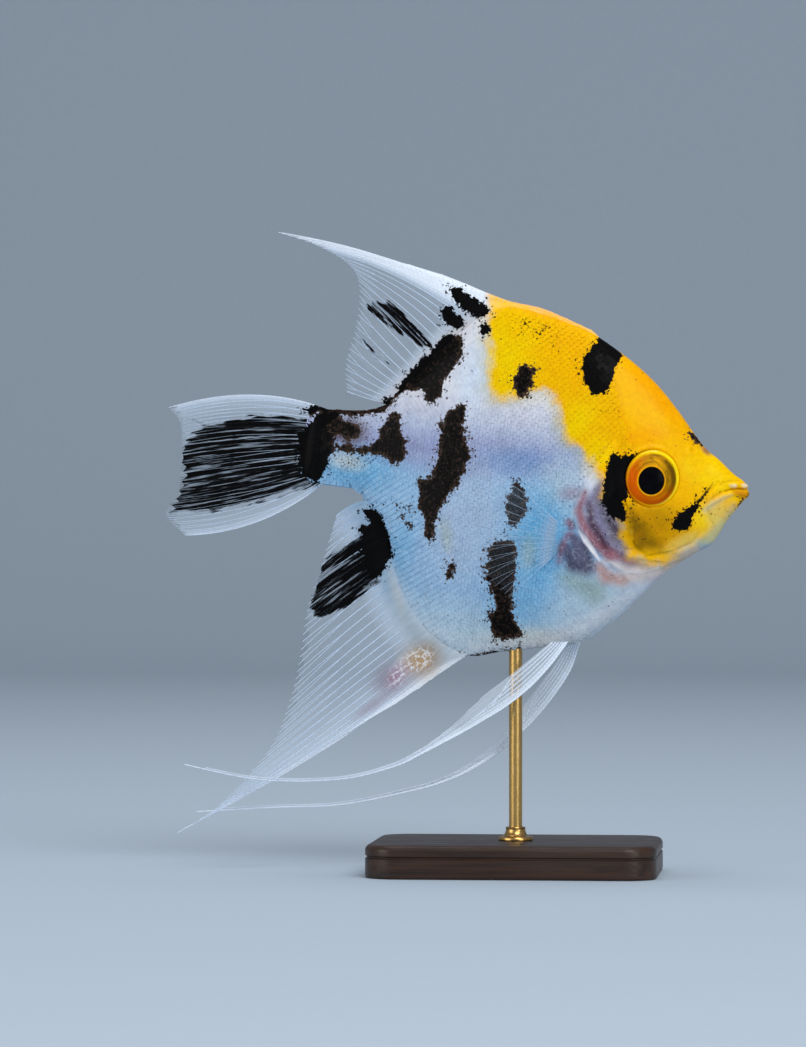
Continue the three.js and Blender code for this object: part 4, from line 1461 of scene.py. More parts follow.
@dataclass
class ScaleCoat:
    """The scales of one side: overlapping plates, rooted ahead and free behind, in rows along the flank."""

    form: BodyForm
    fish: FishFrame
    markings: Markings
    side: Side
    pitch: float = 1.22
    row: float = 0.6
    length: float = 1.5
    width: float = 1.24
    rise: float = 0.04
    sunk: float = 0.12
    thick: float = 0.05
    along: int = 4
    across: int = 5
    patch: float = 0.003
    columns: tuple[float, float] = (-2.6, 66)
    clear_of_eye: float = 1.34
    face: float = 56
    seeds: tuple[int, int] = (11, 12)

    def build(self, material: Material) -> bpy.types.Object:
        """Makes the coat.

        Args:
            material: its finish.

        Returns:
            The coat.
        """
        x, level = self.roots()
        rng = np.random.default_rng(self.seeds[self.side is Side.RIGHT])
        size = 1 + rng.uniform(-0.04, 0.04, x.size)
        tilt = rng.uniform(0.8, 1.2, x.size)
        stand = self.stand(x, level)
        a, b, height, rim = self.template()
        rear, up, out = self.form.frame_at(x, level, self.side.value)
        root = self.form.point(x, level, self.side.value)
        reach = (a * (1 - 0.36 * b**2) * self.length)[None] * size[:, None]
        spread = (b * (0.82 + 0.18 * a) * self.width / 2)[None] * size[:, None]
        flat = root[:, None] + rear[:, None] * reach[..., None] + up[:, None] * spread[..., None]
        lift = height[None] * tilt[:, None] - (0.13 + self.rise) * (1 - stand[:, None])
        lift = lift + self.form.relief(flat[..., 0], flat[..., 2])
        points = (flat + out[:, None] * lift[..., None]).reshape(-1, 3)
        faces = self.faces(len(a))
        every = [[k + i * len(a) for k in face] for i in range(x.size) for face in faces]
        sides = np.full(len(points), self.side.value)
        carried = self.markings.fields(points[:, 0], points[:, 2], sides, np.repeat(level, len(a)))
        shape = Shape(self.fish.place(points), every, carried | {"rim": np.tile(rim, x.size)})
        coat = make_piece(f"scales_{self.side.word}", shape, material, 40)
        layer = coat.data.uv_layers.new(name="OFBake")
        layer.data.foreach_set("uv", self.map(x, level, a, b, coat.data).astype(np.float32).ravel())
        return coat

    def roots(self) -> tuple[Array, Array]:
        """Where the scales are rooted, in staggered rows that follow the middle of the flank.

        Returns:
            x and level of each root.
        """
        xs, levels = [], []
        for column, x in enumerate(np.arange(*self.columns, self.pitch / 2)):
            for way in (1, -1):
                level = way * np.linspace(0, 0.985, 240)
                flank = self.form.point(np.full(level.size, x), level, 1)
                arc = np.concatenate([[0], np.cumsum(np.linalg.norm(np.diff(flank, axis=0), axis=1))])
                rows = np.arange(0 if way > 0 else 1, int(arc[-1] / self.row))
                rows = rows[(rows + column) % 2 == 0]
                levels.append(np.interp(rows * self.row, arc, level))
                xs.append(np.full(rows.size, x))
        x, level = np.concatenate(xs), np.concatenate(levels)
        z = self.form.point(x, level, 1)[..., 2]
        kept = self.form.eye.reach(x, z) > self.clear_of_eye
        kept &= self.faceward(x, z) < self.face
        kept &= chain_depth(self.form.fin_lobe, x, z) < -0.6
        cover = side_of_line(self.form.cover_edge, x, z)
        kept &= (np.abs(cover - 0.3) > 0.75) | (z > 1)
        kept &= ~((cover > 0) & (cover < 4.5) & (z < -6))
        return x[kept], level[kept]

    def faceward(self, x: Array, z: Array) -> Array:
        """How far points lie towards the bare face, which slants back above the eye."""
        return x + 0.42 * np.maximum(z, 0)

    def stand(self, x: Array, level: Array) -> Array:
        """How far scales stand out: less at the keels, and hardly at all on the face.

        Args:
            x: the roots' x.
            level: the roots' level.

        Returns:
            A share for each, from 0 to 1.
        """
        z = self.form.point(x, level, 1)[..., 2]
        eye = step(1.3, 1.9, self.form.eye.reach(x, z))
        keel, face = step(1, 0.8, np.abs(level)), step(self.face + 1, 47, self.faceward(x, z))
        return keel * face * eye * (0.25 + 0.75 * step(2, 24, x))

    def template(self) -> tuple[Array, Array, Array, Array]:
        """One scale's points, those of its top first and then those of its underside.

        Returns:
            Places along and across, height, and nearness to the free rim.
        """
        a, b = np.meshgrid(np.linspace(0, 1, self.along), np.linspace(-1, 1, self.across), indexing="ij")
        a, b = a.ravel(), b.ravel()
        height = -self.sunk + (self.sunk + self.rise) * a**0.8 - 0.025 * b**2
        # rim marks the free edge, where the skin finish paints highlights.
        rim = step(0.45, 1, a) * (0.7 + 0.3 * np.abs(b))
        edge = rim_of(self.along, self.across)
        under = height[edge] - self.thick
        pairs = ((a, a[edge]), (b, b[edge]), (height, under), (rim, rim[edge]))
        return tuple(np.concatenate(pair) for pair in pairs)

    def faces(self, count: int) -> list[list[int]]:
        """One scale's faces: its top, its rim and its underside.

        Args:
            count: how many points it has.

        Returns:
            The points' numbers, in order round each face.
        """
        edge = rim_of(self.along, self.across)
        under = list(range(self.along * self.across, count))
        turns = zip(edge, edge[1:] + edge[:1], under, under[1:] + under[:1])
        faces = quad_rows(self.along, self.across).tolist() + [[q, p, u, v] for p, q, u, v in turns] + [under]
        return faces if self.side is Side.RIGHT else [face[::-1] for face in faces]

    def map(self, x: Array, level: Array, a: Array, b: Array, mesh: bpy.types.Mesh) -> Array:
        """The bake map: each scale is a small patch at its root's place on the flank laid out flat.

        Args:
            x: the roots' x.
            level: the roots' level.
            a: the template's places along.
            b: the template's places across.
            mesh: the coat's mesh.

        Returns:
            A place for each face corner.
        """
        left, right = self.form.stalk_end, self.form.tip
        u = 0.02 + 0.95 * (x - left) / (right - left)
        v = 0.02 + 0.95 * (level + 1) / 2
        across = (b[None] + 1) / 2 * self.patch
        places = np.stack([u[:, None] + a[None] * self.patch, v[:, None] + across], -1)
        corners = np.empty(len(mesh.loops), np.int32)
        mesh.loops.foreach_get("vertex_index", corners)
        return places.reshape(-1, 2)[corners]


# ---- fins ----


UNMARKED = -9.0
WEB_HALF = 0.035


@dataclass
class Fin:
    """A fin, in two pieces: its web and its rays."""

    name: str
    node: str
    fish: FishFrame
    markings: Markings

    def web(self) -> Shape:
        """The fin's web, in the fish's frame."""
        raise NotImplementedError

    def bones(self) -> Shape:
        """The fin's rays, in the fish's frame."""
        raise NotImplementedError

    def build(self, web: Material, ray: Material, slot: str) -> None:
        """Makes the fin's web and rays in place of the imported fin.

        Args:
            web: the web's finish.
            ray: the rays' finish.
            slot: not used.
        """
        pieces = []
        for title, shape, material in (("web", self.web(), web), ("rays", self.bones(), ray)):
            shape.points = self.fish.place(shape.points)
            pieces.append(make_piece(f"{self.name}_{title}", shape, material))
        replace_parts(pieces[0], self.node)


@dataclass
class RayFin(Fin):
    """A fin of rays joined by web. Each key ray is (base, bow, tip), the three points of a bent line."""

    keys: tuple[tuple[tuple[float, float], ...], ...]
    rays: int
    sway: float = 0.0
    wave: float = 0.3
    spines: int = 0
    forks: tuple[float, ...] = (0.5,)
    girth: float = 0.15
    root: float = 1.6
    milk: Knots = ((0, 0.3), (1, 0.3))
    fringe: float = 0.03
    marked: bool = True
    washes: tuple[Wash, ...] = ()
    patch: Knots = ()
    fleshy: float = 2.2
    fillet: float = 0.3
    fade: float = 1.7
    ring: float = 0.5
    splay: tuple[float, ...] = (0, 0.26, 0.12)
    between: int = 6
    steps: int = 46
    seed: int = 3

    def flat(self, share: Array, along: Array) -> Array:
        """Points of the fin's own plane.

        Args:
            share: which ray, from 0 at the first to 1 at the last.
            along: how far along it, from -1 at its buried root, over 0 at its base, to 1 at its tip.

        Returns:
            One row of x, z for each.
        """
        base, bow, tip = (flowing(np.array([key[k] for key in self.keys]), share) for k in range(3))
        t = np.maximum(along, 0)[..., None]
        bent = base * (1 - t) ** 2 + 2 * bow * t * (1 - t) + tip * t**2
        return bent + unit(bow - base) * np.minimum(along, 0)[..., None] * self.root

    def stand(self, flat: Array, along: Array) -> Array:
        """Sets points of the fin's plane in space, with the sway of a middle fin.

        Args:
            flat: rows of x, z.
            along: how far along their rays they lie.

        Returns:
            Rows of x, y, z.
        """
        t = np.maximum(along, 0)
        y = self.sway * t**2 + self.wave * t * np.sin(flat[..., 1] / 5)
        return np.stack([flat[..., 0], y, flat[..., 1]], -1)

    def gone(self, share: Array, along: Array) -> Array:
        """How many millimetres from the base points lie."""
        base, tip = (self.flat(share, np.full_like(share, end)) for end in (0.0, 1.0))
        return np.linalg.norm(tip - base, axis=-1) * np.maximum(along, 0)

    def carried(self, share: Array, along: Array) -> Carried:
        """What each point of the fin carries for its finish.

        Args:
            share: which ray it lies by.
            along: how far along that ray.

        Returns:
            ground, blot, dark, milk, net and way.
        """
        flat = self.flat(share, along)
        x, z = flat[..., 0].ravel(), flat[..., 1].ravel()
        t, length = np.maximum(along, 0).ravel(), self.gone(share, along).ravel()
        shares, milks = np.array(self.milk).T
        lead = np.interp(share.ravel(), shares, milks)
        warm = step(-0.8, 0.8, region_depth(self.markings.yellow, x, z)) if self.marked else np.zeros(x.size)
        flesh = bell(length, self.fleshy + 12 * warm)
        milk = np.maximum(lead * (1 - 0.3 * t**2), 0.9 * flesh)
        pale = Tint.FIN_MILK.rgb * 0.5 + Tint.FIN_BLUE.rgb * 0.5
        ground = pale + (Tint.FIN_MILK.rgb - pale) * lead[:, None]
        ground = washed(ground, self.washes, x, z)
        plain = self.markings.ground(x, z) * 0.75 * (1 - warm[:, None])
        plain = plain + self.markings.gold(x, z) * warm[:, None]
        ground = ground + (plain - ground) * (flesh * (1 - lead * 0.5 * (1 - warm)))[:, None]
        nothing = np.full(x.size, UNMARKED)
        blot = self.markings.black(x, z)[0] if self.marked else nothing
        dark = self.markings.fin_streaks.depth(x, z) if self.marked else nothing
        net = step(-0.5, 1.5, region_depth(self.patch, x, z)) if self.patch else np.zeros(x.size)
        way = np.stack([share.ravel() * (self.rays - 1), length, np.zeros(x.size)], -1)
        milk = np.maximum(milk, net * 0.95)
        return {"ground": ground, "blot": blot, "dark": dark, "milk": milk, "net": net, "way": way}

    def web(self) -> Shape:
        """The web: a thin closed sheet, drawn in between the ray tips and hollowed between the rays.

        Returns:
            Its shape.
        """
        rng = np.random.default_rng(self.seed)
        share = np.linspace(0, 1, (self.rays - 1) * self.between + 1)
        rows = np.concatenate([[-1, -0.4], np.linspace(0, 1, self.steps)])
        gap = np.sin(math.pi * share * (self.rays - 1)) ** 2
        ragged = np.interp(share * (self.rays - 1), np.arange(self.rays), rng.uniform(0.3, 1.6, self.rays))
        reach = 1 - self.fringe * (0.5 + gap * 1.2) * ragged
        along, which = np.meshgrid(rows, share, indexing="ij")
        along = np.where(along > 0, along * reach[None], along)
        grid = self.stand(self.flat(which, along), along)
        grid[..., 1] += 0.07 * np.cos(2 * math.pi * which * (self.rays - 1)) * np.clip(along, 0, 0.5)
        swell = self.fillet * bell(self.gone(which, along), self.fade)
        half = WEB_HALF - 0.01 * np.clip(along, 0, 1) + swell
        return thin_sheet(grid, half, self.carried(which, along))

    def lines(self, ray: int) -> list[tuple[Array, Array, Array]]:
        """One ray's lines: its stem, and the branches that it forks into.

        Args:
            ray: its number.

        Returns:
            Which ray, how far along, and the girth's share, for the points of each line.
        """
        share = ray / (self.rays - 1)
        forks = () if ray < self.spines else self.forks
        stops = (*forks, 1.0)
        ends = self.flat(np.array([share, share]), np.array([0.0, 1.0]))
        length = float(np.linalg.norm(np.diff(ends, axis=0)))
        found, starts = [], [(share, -1.0)]
        for order, stop in enumerate(stops):
            grown = []
            for at, begin in starts:
                ways = (-1, 1) if order else (0,)
                for way in ways:
                    gone = self.splay[order] * way / (self.rays - 1)
                    rings = max(int((stop - max(begin, 0)) * length / self.ring), 5)
                    t = np.linspace(begin, stop, rings + 1)
                    opened = np.clip((t - begin) / max(stop - begin, 1e-6), 0, 1)
                    which = np.clip(at + gone * opened**0.8, 0, 1)
                    girth = np.maximum((1 - 0.66 * np.clip(t, 0, 1)) * 0.85**order, 0.42)
                    girth *= 1 - 0.1 * (np.arange(t.size) % 2)
                    found.append((which, t, girth))
                    grown.append((float(which[-1]), stop))
            starts = grown
        return found

    def bones(self) -> Shape:
        """All the rays as jointed, tapering tubes.

        Returns:
            Their shape.
        """
        shapes = []
        for ray in range(self.rays):
            thick = self.girth * (1.35 if ray < self.spines else 1)
            for which, along, girth in self.lines(ray):
                line = self.stand(self.flat(which, along), along)
                shapes.append(tube(line, thick * girth, self.carried(which, along)))
        return Shape.merged(shapes)


@dataclass
class PectoralFin(RayFin):
    """A pectoral fin: nearly clear, hinged at the gill opening and standing a little off the flank."""

    side: Side = Side.RIGHT
    form: BodyForm = BodyForm()
    hinge: tuple[float, float] = (43.4, -12.8)
    spread: float = math.radians(13)
    sunk: float = 0.2
    fillet: float = 0.0
    cup: float = 0.012

    def stand(self, flat: Array, along: Array) -> Array:
        """Sets points of the fin in space, laid out round its hinge.

        Args:
            flat: rows of x, z.
            along: how far along their rays they lie.

        Returns:
            Rows of x, y, z.
        """
        x, z = self.hinge
        back = x - flat[..., 0]
        y = self.form.flank(x, z) - self.sunk + back * math.sin(self.spread) + self.cup * back**2
        return np.stack([x - back * math.cos(self.spread), self.side.value * y, flat[..., 1]], -1)


@dataclass
class PelvicFin(Fin):
    """A pelvic fin: a narrow blade of rays that runs out into one long thread."""

    side: Side
    stations: Knots
    inner: float = 1.7
    outer: float = 4.4
    tip_out: float = 3.4
    ray_ends: tuple[float, ...] = (1.0, 0.62, 0.56, 0.5, 0.44, 0.38)
    girth: float = 0.2

    def spine(self, t: Array, lean: Array) -> Array:
        """Points of the blade.

        Args:
            t: how far down it, from 0 to 1.
            lean: how far across it, from -0.5 at the trailing edge to 0.5 at the leading edge.

        Returns:
            One row of x, y, z for each.
        """
        path = np.array(self.stations)[:, :2]
        at = flowing(path, t)
        ahead = unit(flowing(path, np.minimum(t + 1e-3, 1)) - flowing(path, np.maximum(t - 1e-3, 0)))
        last = len(self.stations) - 1
        widths = SmoothCurve(tuple((i / last, station[2]) for i, station in enumerate(self.stations)))
        width = widths(t) * lean
        out = SmoothCurve(((0, self.inner), (0.45, self.outer), (1, self.tip_out)))(t)
        x, z = at[..., 0] - ahead[..., 1] * width, at[..., 1] + ahead[..., 0] * width
        return np.stack([x, self.side.value * out, z], -1)

    def carried(self, t: Array, lean: Array) -> Carried:
        """What each point carries for its finish.

        Args:
            t: how far down the blade it lies.
            lean: how far across it.

        Returns:
            The same names as a ray fin's.
        """
        t, lean = t.ravel(), lean.ravel()
        solid = 0.75 * step(0.12, 0, t) + 0.95 * step(0.45, 0.62, t) + 0.8 * step(0, 0.5, lean)
        milk = np.clip(solid, 0.22, 0.97)
        ground = np.broadcast_to(Tint.FIN_MILK.rgb * 0.85 + Tint.FIN_BLUE.rgb * 0.15, (t.size, 3))
        way = np.stack([lean * 6, t * 85, np.zeros(t.size)], -1)
        off = np.full(t.size, UNMARKED)
        return {"ground": ground, "blot": off, "dark": off, "milk": milk, "net": np.zeros(t.size), "way": way}

    def web(self) -> Shape:
        """The blade's web, stepped along its trailing edge where each ray ends.

        Returns:
            Its shape.
        """
        t, lean = np.meshgrid(np.linspace(0, 0.97, 150), np.linspace(-0.5, 0.5, 13), indexing="ij")
        ends = np.array(self.ray_ends[1:])[::-1]
        steps = np.array([0.06 * step(end, end + 0.02, t) * step(0.1, -0.5, lean) for end in ends]).sum(0)
        grid = self.spine(t, lean + steps)
        grid[..., 1] += self.side.value * 0.1 * np.cos(lean * 2 * math.pi * 5)
        return thin_sheet(grid, np.full(t.shape, WEB_HALF), self.carried(t, lean))

    def bones(self) -> Shape:
        """The spine, the soft rays, and the thread that the first ray runs out into.

        Returns:
            Their shape.
        """
        shapes = []
        for order, end in enumerate(self.ray_ends):
            t = np.linspace(0, end, int(end * 170))
            start = 0.46 - 0.17 * order
            close = 0.0 if order == 0 else (0.1 - start) * step(0.25, end, t)
            lean = np.full(t.size, start) + close
            girth = self.girth * (1.1 if order == 0 else 0.8) * (1 - 0.62 * t / max(end, 0.6))
            girth = girth * (1 - 0.1 * (np.arange(t.size) % 2))
            shapes.append(tube(self.spine(t, lean), girth, self.carried(t, lean)))
        return Shape.merged(shapes)


# ---- eyes ----


@dataclass
class Eye:
    """An eye in layers: a ball with a dished iris, a black lens in it, and a clear cornea over both."""

    form: BodyForm
    fish: FishFrame
    side: Side
    pupil: float = 0.49
    dish: float = 0.78
    gaze: tuple[float, float] = (-0.27, -0.42)
    cornea: float = 0.985
    turns: int = 96

    def spun(self, profile: Profile) -> tuple[Array, Array, Array]:
        """A profile turned about the eye's axis.

        Args:
            profile: (share of the rim, millimetres outwards) from the middle or rim, in order.

        Returns:
            Points in the fish's frame, their share of the rim, and their turn.
        """
        seat = self.form.eye
        taper = math.atan((self.form.flank(seat.x - 1, seat.z) - self.form.flank(seat.x + 1, seat.z)) / 2)
        turn, index = np.meshgrid(np.arange(self.turns) * 2 * math.pi / self.turns, np.arange(len(profile)))
        share, height = np.array(profile)[index].transpose(2, 0, 1)
        sight = step(1, 0.55, share)
        ahead = share * seat.length * np.cos(turn) + self.gaze[0] * sight
        up = share * seat.height * np.sin(turn) + self.gaze[1] * sight
        sign = self.side.value
        y = self.form.flank(seat.x, seat.z) + seat.proud - seat.depth
        points = np.stack([
            seat.x + ahead * math.cos(taper) + height * math.sin(taper),
            sign * (y - ahead * math.sin(taper) + height * math.cos(taper)),
            seat.z + up,
        ], -1)
        return points, share, turn

    def solid(self, profile: Profile, carried: Carried | None = None) -> Shape:
        """The closed shape of a profile that starts and ends near the axis."""
        return stacked(self.fish.place(self.spun(profile)[0]), carried or {})

    def ball(self, share: float) -> float:
        """How far outwards the ball's plain form reaches at a share of its rim."""
        return self.form.eye.depth * math.sqrt(max(1 - share**2, 0))

    def iris_profile(self) -> Profile:
        """The iris from the pupil's edge outwards, then the ball's back.

        Returns:
            Points as (share of the rim, millimetres outwards).
        """
        edge = self.ball(self.pupil) * self.dish - 0.12
        inner = [(0.02, 0.6), (self.pupil - 0.03, 0.9), (self.pupil - 0.012, edge)]
        shares = np.linspace(self.pupil, 0.93, 16)
        dishes = self.dish + 0.07 * bell(shares - 0.51, 0.03)
        front = [(s, self.ball(s) * dish) for s, dish in zip(shares, dishes)]
        rim = [(0.955, 0.62), (0.975, 0.5), (0.99, 0.25), (0.985, -0.3)]
        back = [(s, -self.ball(s)) for s in (0.9, 0.7, 0.4, 0.02)]
        return inner + front + rim + back

    def iris_colours(self) -> Carried:
        """The iris's tints round the eye, and its polar places for the fibres.

        Returns:
            ground, dark and way.
        """
        _, share, turn = self.spun(self.iris_profile())
        share, turn = share.ravel(), turn.ravel()
        stops = np.array([0, 35, 75, 115, 160, 200, 280, 325, 360]) * math.pi / 180
        tints = (
            Tint.IRIS_BROWN, Tint.IRIS_BROWN, Tint.IRIS_GOLD, Tint.LIP, Tint.IRIS_ORANGE, Tint.IRIS_ORANGE,
            Tint.IRIS_RUST, Tint.IRIS_RUST, Tint.IRIS_BROWN,
        )
        colour = np.stack([np.interp(turn, stops, [tint.rgb[k] for tint in tints]) for k in range(3)], -1)
        ahead = (0.5 + 0.5 * np.cos(turn - 0.5)).clip(0, 1)
        warmth = 0.7 * bell(share - 0.64, 0.07) * ahead
        crescent = 0.75 * bell(share - 0.8, 0.05) * ahead**2
        ring = step(0.555, 0.53, share) * 0.95
        thin = step(0.9, 0.93, share) * (0.25 + 0.55 * ahead)
        outer = step(0.85, 0.9, share) * ahead**0.7
        for cover, tint in ((warmth, Tint.MUSTARD), (crescent, Tint.IRIS_OLIVE), (ring, Tint.IRIS_GOLD),
                            (thin, Tint.IRIS_GOLD), (outer, Tint.LEMON)):
            colour = colour * (1 - cover[:, None]) + tint.rgb * cover[:, None]
        turned = 0.5 + 0.5 * np.cos(turn - 1.1)
        streaked = 0.15 + 0.6 * turned * step(0.9, 0.85, share) * step(0.56, 0.6, share)
        way = np.stack([np.cos(turn) * 4.5, np.sin(turn) * 4.5, share * 2.2], -1)
        return {"ground": colour, "dark": streaked, "way": way}

    def build(self, iris: Material, pupil: Material, cornea: Material) -> None:
        """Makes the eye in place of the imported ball.

        Args:
            iris: the ball's and the iris's finish.
            pupil: the lens's finish.
            cornea: the clear front's finish.
        """
        word = self.side.word
        ball = make_piece(f"iris_{word}", self.solid(self.iris_profile(), self.iris_colours()), iris)
        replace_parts(ball, f"eye_{word}")
        level = self.ball(self.pupil) * self.dish - 0.1
        shares = np.linspace(0.02, self.pupil - 0.002, 12)
        dome = [(s, level + 0.3 * (1 - (s / self.pupil) ** 2)) for s in shares]
        lens = dome + [(self.pupil - 0.01, level - 0.2), (0.02, level - 0.3)]
        make_piece(f"pupil_{word}", self.solid(lens), pupil)
        outer = [(s, self.ball(s) * self.cornea) for s in np.sin(np.linspace(0.02, 1.4, 28))]
        inner = [(s * self.cornea, h - 0.07) for s, h in outer[::-1]]
        make_piece(f"cornea_{word}", self.solid(outer + inner), cornea, 80)


# ---- stand ----


@dataclass
class Stand:
    """The display stand: a turned-edge wooden foot, a brass collar and the brass rod that holds the fish."""

    corner: float = 5.0
    ease: float = 0.5
    rounding: float = 1.1
    edge_steps: int = 14
    turns: int = 64

    def outline(self, half_x: float, half_y: float, inset: float) -> Array:
        """A rounded rectangle round the origin.

        Args:
            half_x: half its length before the inset.
            half_y: half its width before the inset.
            inset: how far it is drawn in.

        Returns:
            One row of x, y for each point, in order.
        """
        radius = self.corner + 0.8 - inset
        quarter = np.repeat(np.arange(4), self.edge_steps + 1)
        turn = (quarter + np.tile(np.linspace(0, 1, self.edge_steps + 1), 4)) * math.pi / 2
        x = np.array((1, -1, -1, 1))[quarter] * (half_x - inset - radius) + radius * np.cos(turn)
        y = np.array((1, 1, -1, -1))[quarter] * (half_y - inset - radius) + radius * np.sin(turn)
        return np.column_stack([x, y])

    def ringed(self, profile: Profile) -> Array:
        """Rings about the stand's axis from a profile of (radius, height)."""
        turn = np.arange(self.turns) * 2 * math.pi / self.turns
        return np.array([[(r * math.cos(t), r * math.sin(t), z) for t in turn] for r, z in profile])

    def foot(self) -> Array:
        """The foot: a plate with eased lower edges, a scored line, and a rounded top edge.

        Returns:
            Its rings of points.
        """
        low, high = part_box("stand_foot")
        half_x, half_y, height = (high.x - low.x) / 2 / MM, (high.y - low.y) / 2 / MM, high.z / MM
        ease, top = self.ease, self.rounding
        rise = np.linspace(0, math.pi / 2, 7)
        profile = [(ease * (1 - math.sin(t)), ease * (1 - math.cos(t))) for t in rise]
        profile += [(0.0, 2.2), (0.02, 3.5), (0.14, 3.56), (0.3, 3.7), (0.3, 3.86), (0.14, 4.0), (0.02, 4.06)]
        profile += [(top * (1 - math.cos(t)), height - top + top * math.sin(t)) for t in rise]
        outlines = [(self.outline(half_x, half_y, inset), z) for inset, z in profile]
        return np.array([np.column_stack([line, np.full(len(line), z)]) for line, z in outlines])

    def collar(self) -> Array:
        """The collar: a flange with a bead, drawn in to the rod by a hollow curve.

        Returns:
            Its rings of points.
        """
        _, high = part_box("stand_collar")
        radius, base, top = high.x / MM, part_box("stand_foot")[1].z / MM, high.z / MM
        profile = [(0.2, base), (radius - 0.15, base), (radius, base + 0.15), (radius, base + 0.5)]
        profile += [(radius - 0.12, base + 0.66), (radius - 0.4, base + 0.72)]
        profile += [
            (1.75 + (radius - 2.3) * (1 - math.sin(t)), base + 0.78 + (top - base - 1.1) * (1 - math.cos(t)))
            for t in np.linspace(0, math.pi / 2, 8)
        ]
        return self.ringed(profile + [(1.8, top - 0.2), (1.72, top - 0.06), (1.5, top), (0.2, top)])

    def rod(self) -> Array:
        """The rod, up to a rounded end inside the belly.

        Returns:
            Its rings of points.
        """
        _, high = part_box("stand_rod")
        radius, base, top = high.x / MM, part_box("stand_foot")[1].z / MM - 0.5, high.z / MM
        profile = [(0.1, base), *((radius, z) for z in np.linspace(base, top - radius, 24))]
        for t in (0.4, 0.8, 1.2, 1.5):
            profile.append((radius * math.cos(t) + 0.02, top - radius * (1 - math.sin(t))))
        return self.ringed(profile)

    def build(self, wood: Material, post: Material, ring: Material) -> None:
        """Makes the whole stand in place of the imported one.

        Args:
            wood: the foot's finish.
            post: the rod's finish.
            ring: the collar's finish.
        """
        for node, title, rings, material, slot in (
            ("stand_foot", "plate", self.foot(), wood, "dark_wood"),
            ("stand_collar", "ring", self.collar(), ring, "brass"),
            ("stand_rod", "post", self.rod(), post, "brass"),
        ):
            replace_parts(make_piece(f"{node}_{title}", stacked(rings * MM, {}), material, 40), node)


# ---- studio ----


@dataclass
class Studio:
    """The sweep, the soft lights and the camera."""

    look_at: Vector = Vector((-0.0204, 0, 0.0631))
    azimuth: float = math.radians(5.5)
    distance: float = 0.9
    frame_height: float = 0.1892
    sensor: float = 36.0
    floor_end: float = 1.2
    bend: float = 0.7
    back_top: float = 2.6
    lamps: tuple[tuple[str, tuple[float, float, float], float, float], ...] = (
        ("key", (0.5, -1.0, 1.0), 0.9, 12.3),
        ("fill", (-1.1, -0.9, 0.3), 1.0, 7.0),
        ("low", (0.8, -0.9, 0.2), 0.5, 2.5),
        ("top", (-0.1, 0.25, 1.3), 0.9, 5.0),
    )

    def sweep(self, material: Material) -> None:
        """The floor and the backdrop it curves up into.

        Args:
            material: its finish.
        """
        end, bend = self.floor_end, self.bend
        rise = np.linspace(0, math.pi / 2, 24)[1:]
        curve = [(end + bend * math.sin(t), bend - bend * math.cos(t)) for t in rise]
        profile = [(-2.0, 0.0), (end, 0.0), *curve, (end + bend, self.back_top)]
        points = [(x, y, z) for y, z in profile for x in (-3.0, 3.0)]
        mesh = bpy.data.meshes.new("sweep")
        mesh.from_pydata(points, [], quad_rows(len(profile), 2).tolist())
        mesh.materials.append(material)
        mesh.shade_smooth()
        sweep = linked("sweep", mesh)

    def lights(self) -> None:
        """Large soft lamps and a pale room."""
        for name, place, size, power in self.lamps:
            data = bpy.data.lights.new(name, "AREA")
            data.shape = "DISK"
            data.size = size
            data.energy = power
            lamp = linked(name, data)
            lamp.location = place
            lamp.rotation_euler = (self.look_at - lamp.location).to_track_quat("-Z", "Y").to_euler()
        world = bpy.data.worlds.new("room")
        world.use_nodes = True
        ground = world.node_tree.nodes["Background"]
        ground.inputs["Color"].default_value = (0.95, 0.97, 1.0, 1)
        ground.inputs["Strength"].default_value = 0.3
        bpy.context.scene.world = world

    def camera(self) -> None:
        """The camera, level with the fish and a little towards its front."""
        data = bpy.data.cameras.new("camera")
        data.sensor_width = self.sensor
        data.lens = self.sensor * self.distance / self.frame_height
        camera = linked("camera", data)
        away = Vector((math.sin(self.azimuth), -math.cos(self.azimuth), 0))
        camera.location = self.look_at + away * self.distance
        camera.rotation_euler = (-away).to_track_quat("-Z", "Y").to_euler()
        bpy.context.scene.camera = camera

    def build(self, material: Material) -> None:
        """Makes the studio.

        Args:
            material: the sweep's finish.
        """
        self.sweep(material)
        self.lights()
        self.camera()
        bpy.context.scene.view_settings.view_transform = "Standard"


# ---- the fish's fins ----

DORSAL_KEYS = (
    ((47, 22.6), (45.6, 23.9), (43.4, 25.5)), ((39, 26.2), (37.4, 27), (34.6, 28.2)),
    ((32, 27.6), (29.8, 28.5), (26.4, 29.2)), ((28.2, 27.9), (22, 30.2), (12.5, 32.8)),
    ((25.6, 27), (8, 35.4), (-14.2, 36.3)), ((23.6, 25.2), (8.5, 33.4), (-8.2, 34.9)),
    ((19.6, 21.8), (9.5, 29.6), (-2.2, 32.4)), ((15.6, 17.2), (8.6, 23.4), (0.6, 29)),
    ((12.4, 12.8), (7, 16.4), (1.1, 21.6)), ((10, 9.9), (5.4, 11.3), (0, 14.6)),
    ((8.2, 7.8), (4.8, 8.3), (0.8, 9.1)),
)
ANAL_KEYS = (
    ((28.9, -34.9), (26.6, -36.9), (23.8, -39.4)), ((27.6, -35), (21.8, -40), (14.6, -47.4)),
    ((26, -34.8), (8.4, -55), (-18.5, -72.8)), ((23, -33.6), (8.2, -50.2), (-13.4, -68.6)),
    ((20.2, -31.8), (9.5, -41.5), (-5.6, -57.6)), ((17, -28.2), (8.6, -36), (-2.8, -49.2)),
    ((14.4, -23.8), (7.6, -29.4), (-1.6, -40.2)), ((12.2, -18.8), (6.6, -22.8), (-1.4, -31)),
    ((9.4, -13.8), (4.8, -16), (0.4, -21.4)), ((7, -10), (4.4, -10.4), (1.8, -13.4)),
)
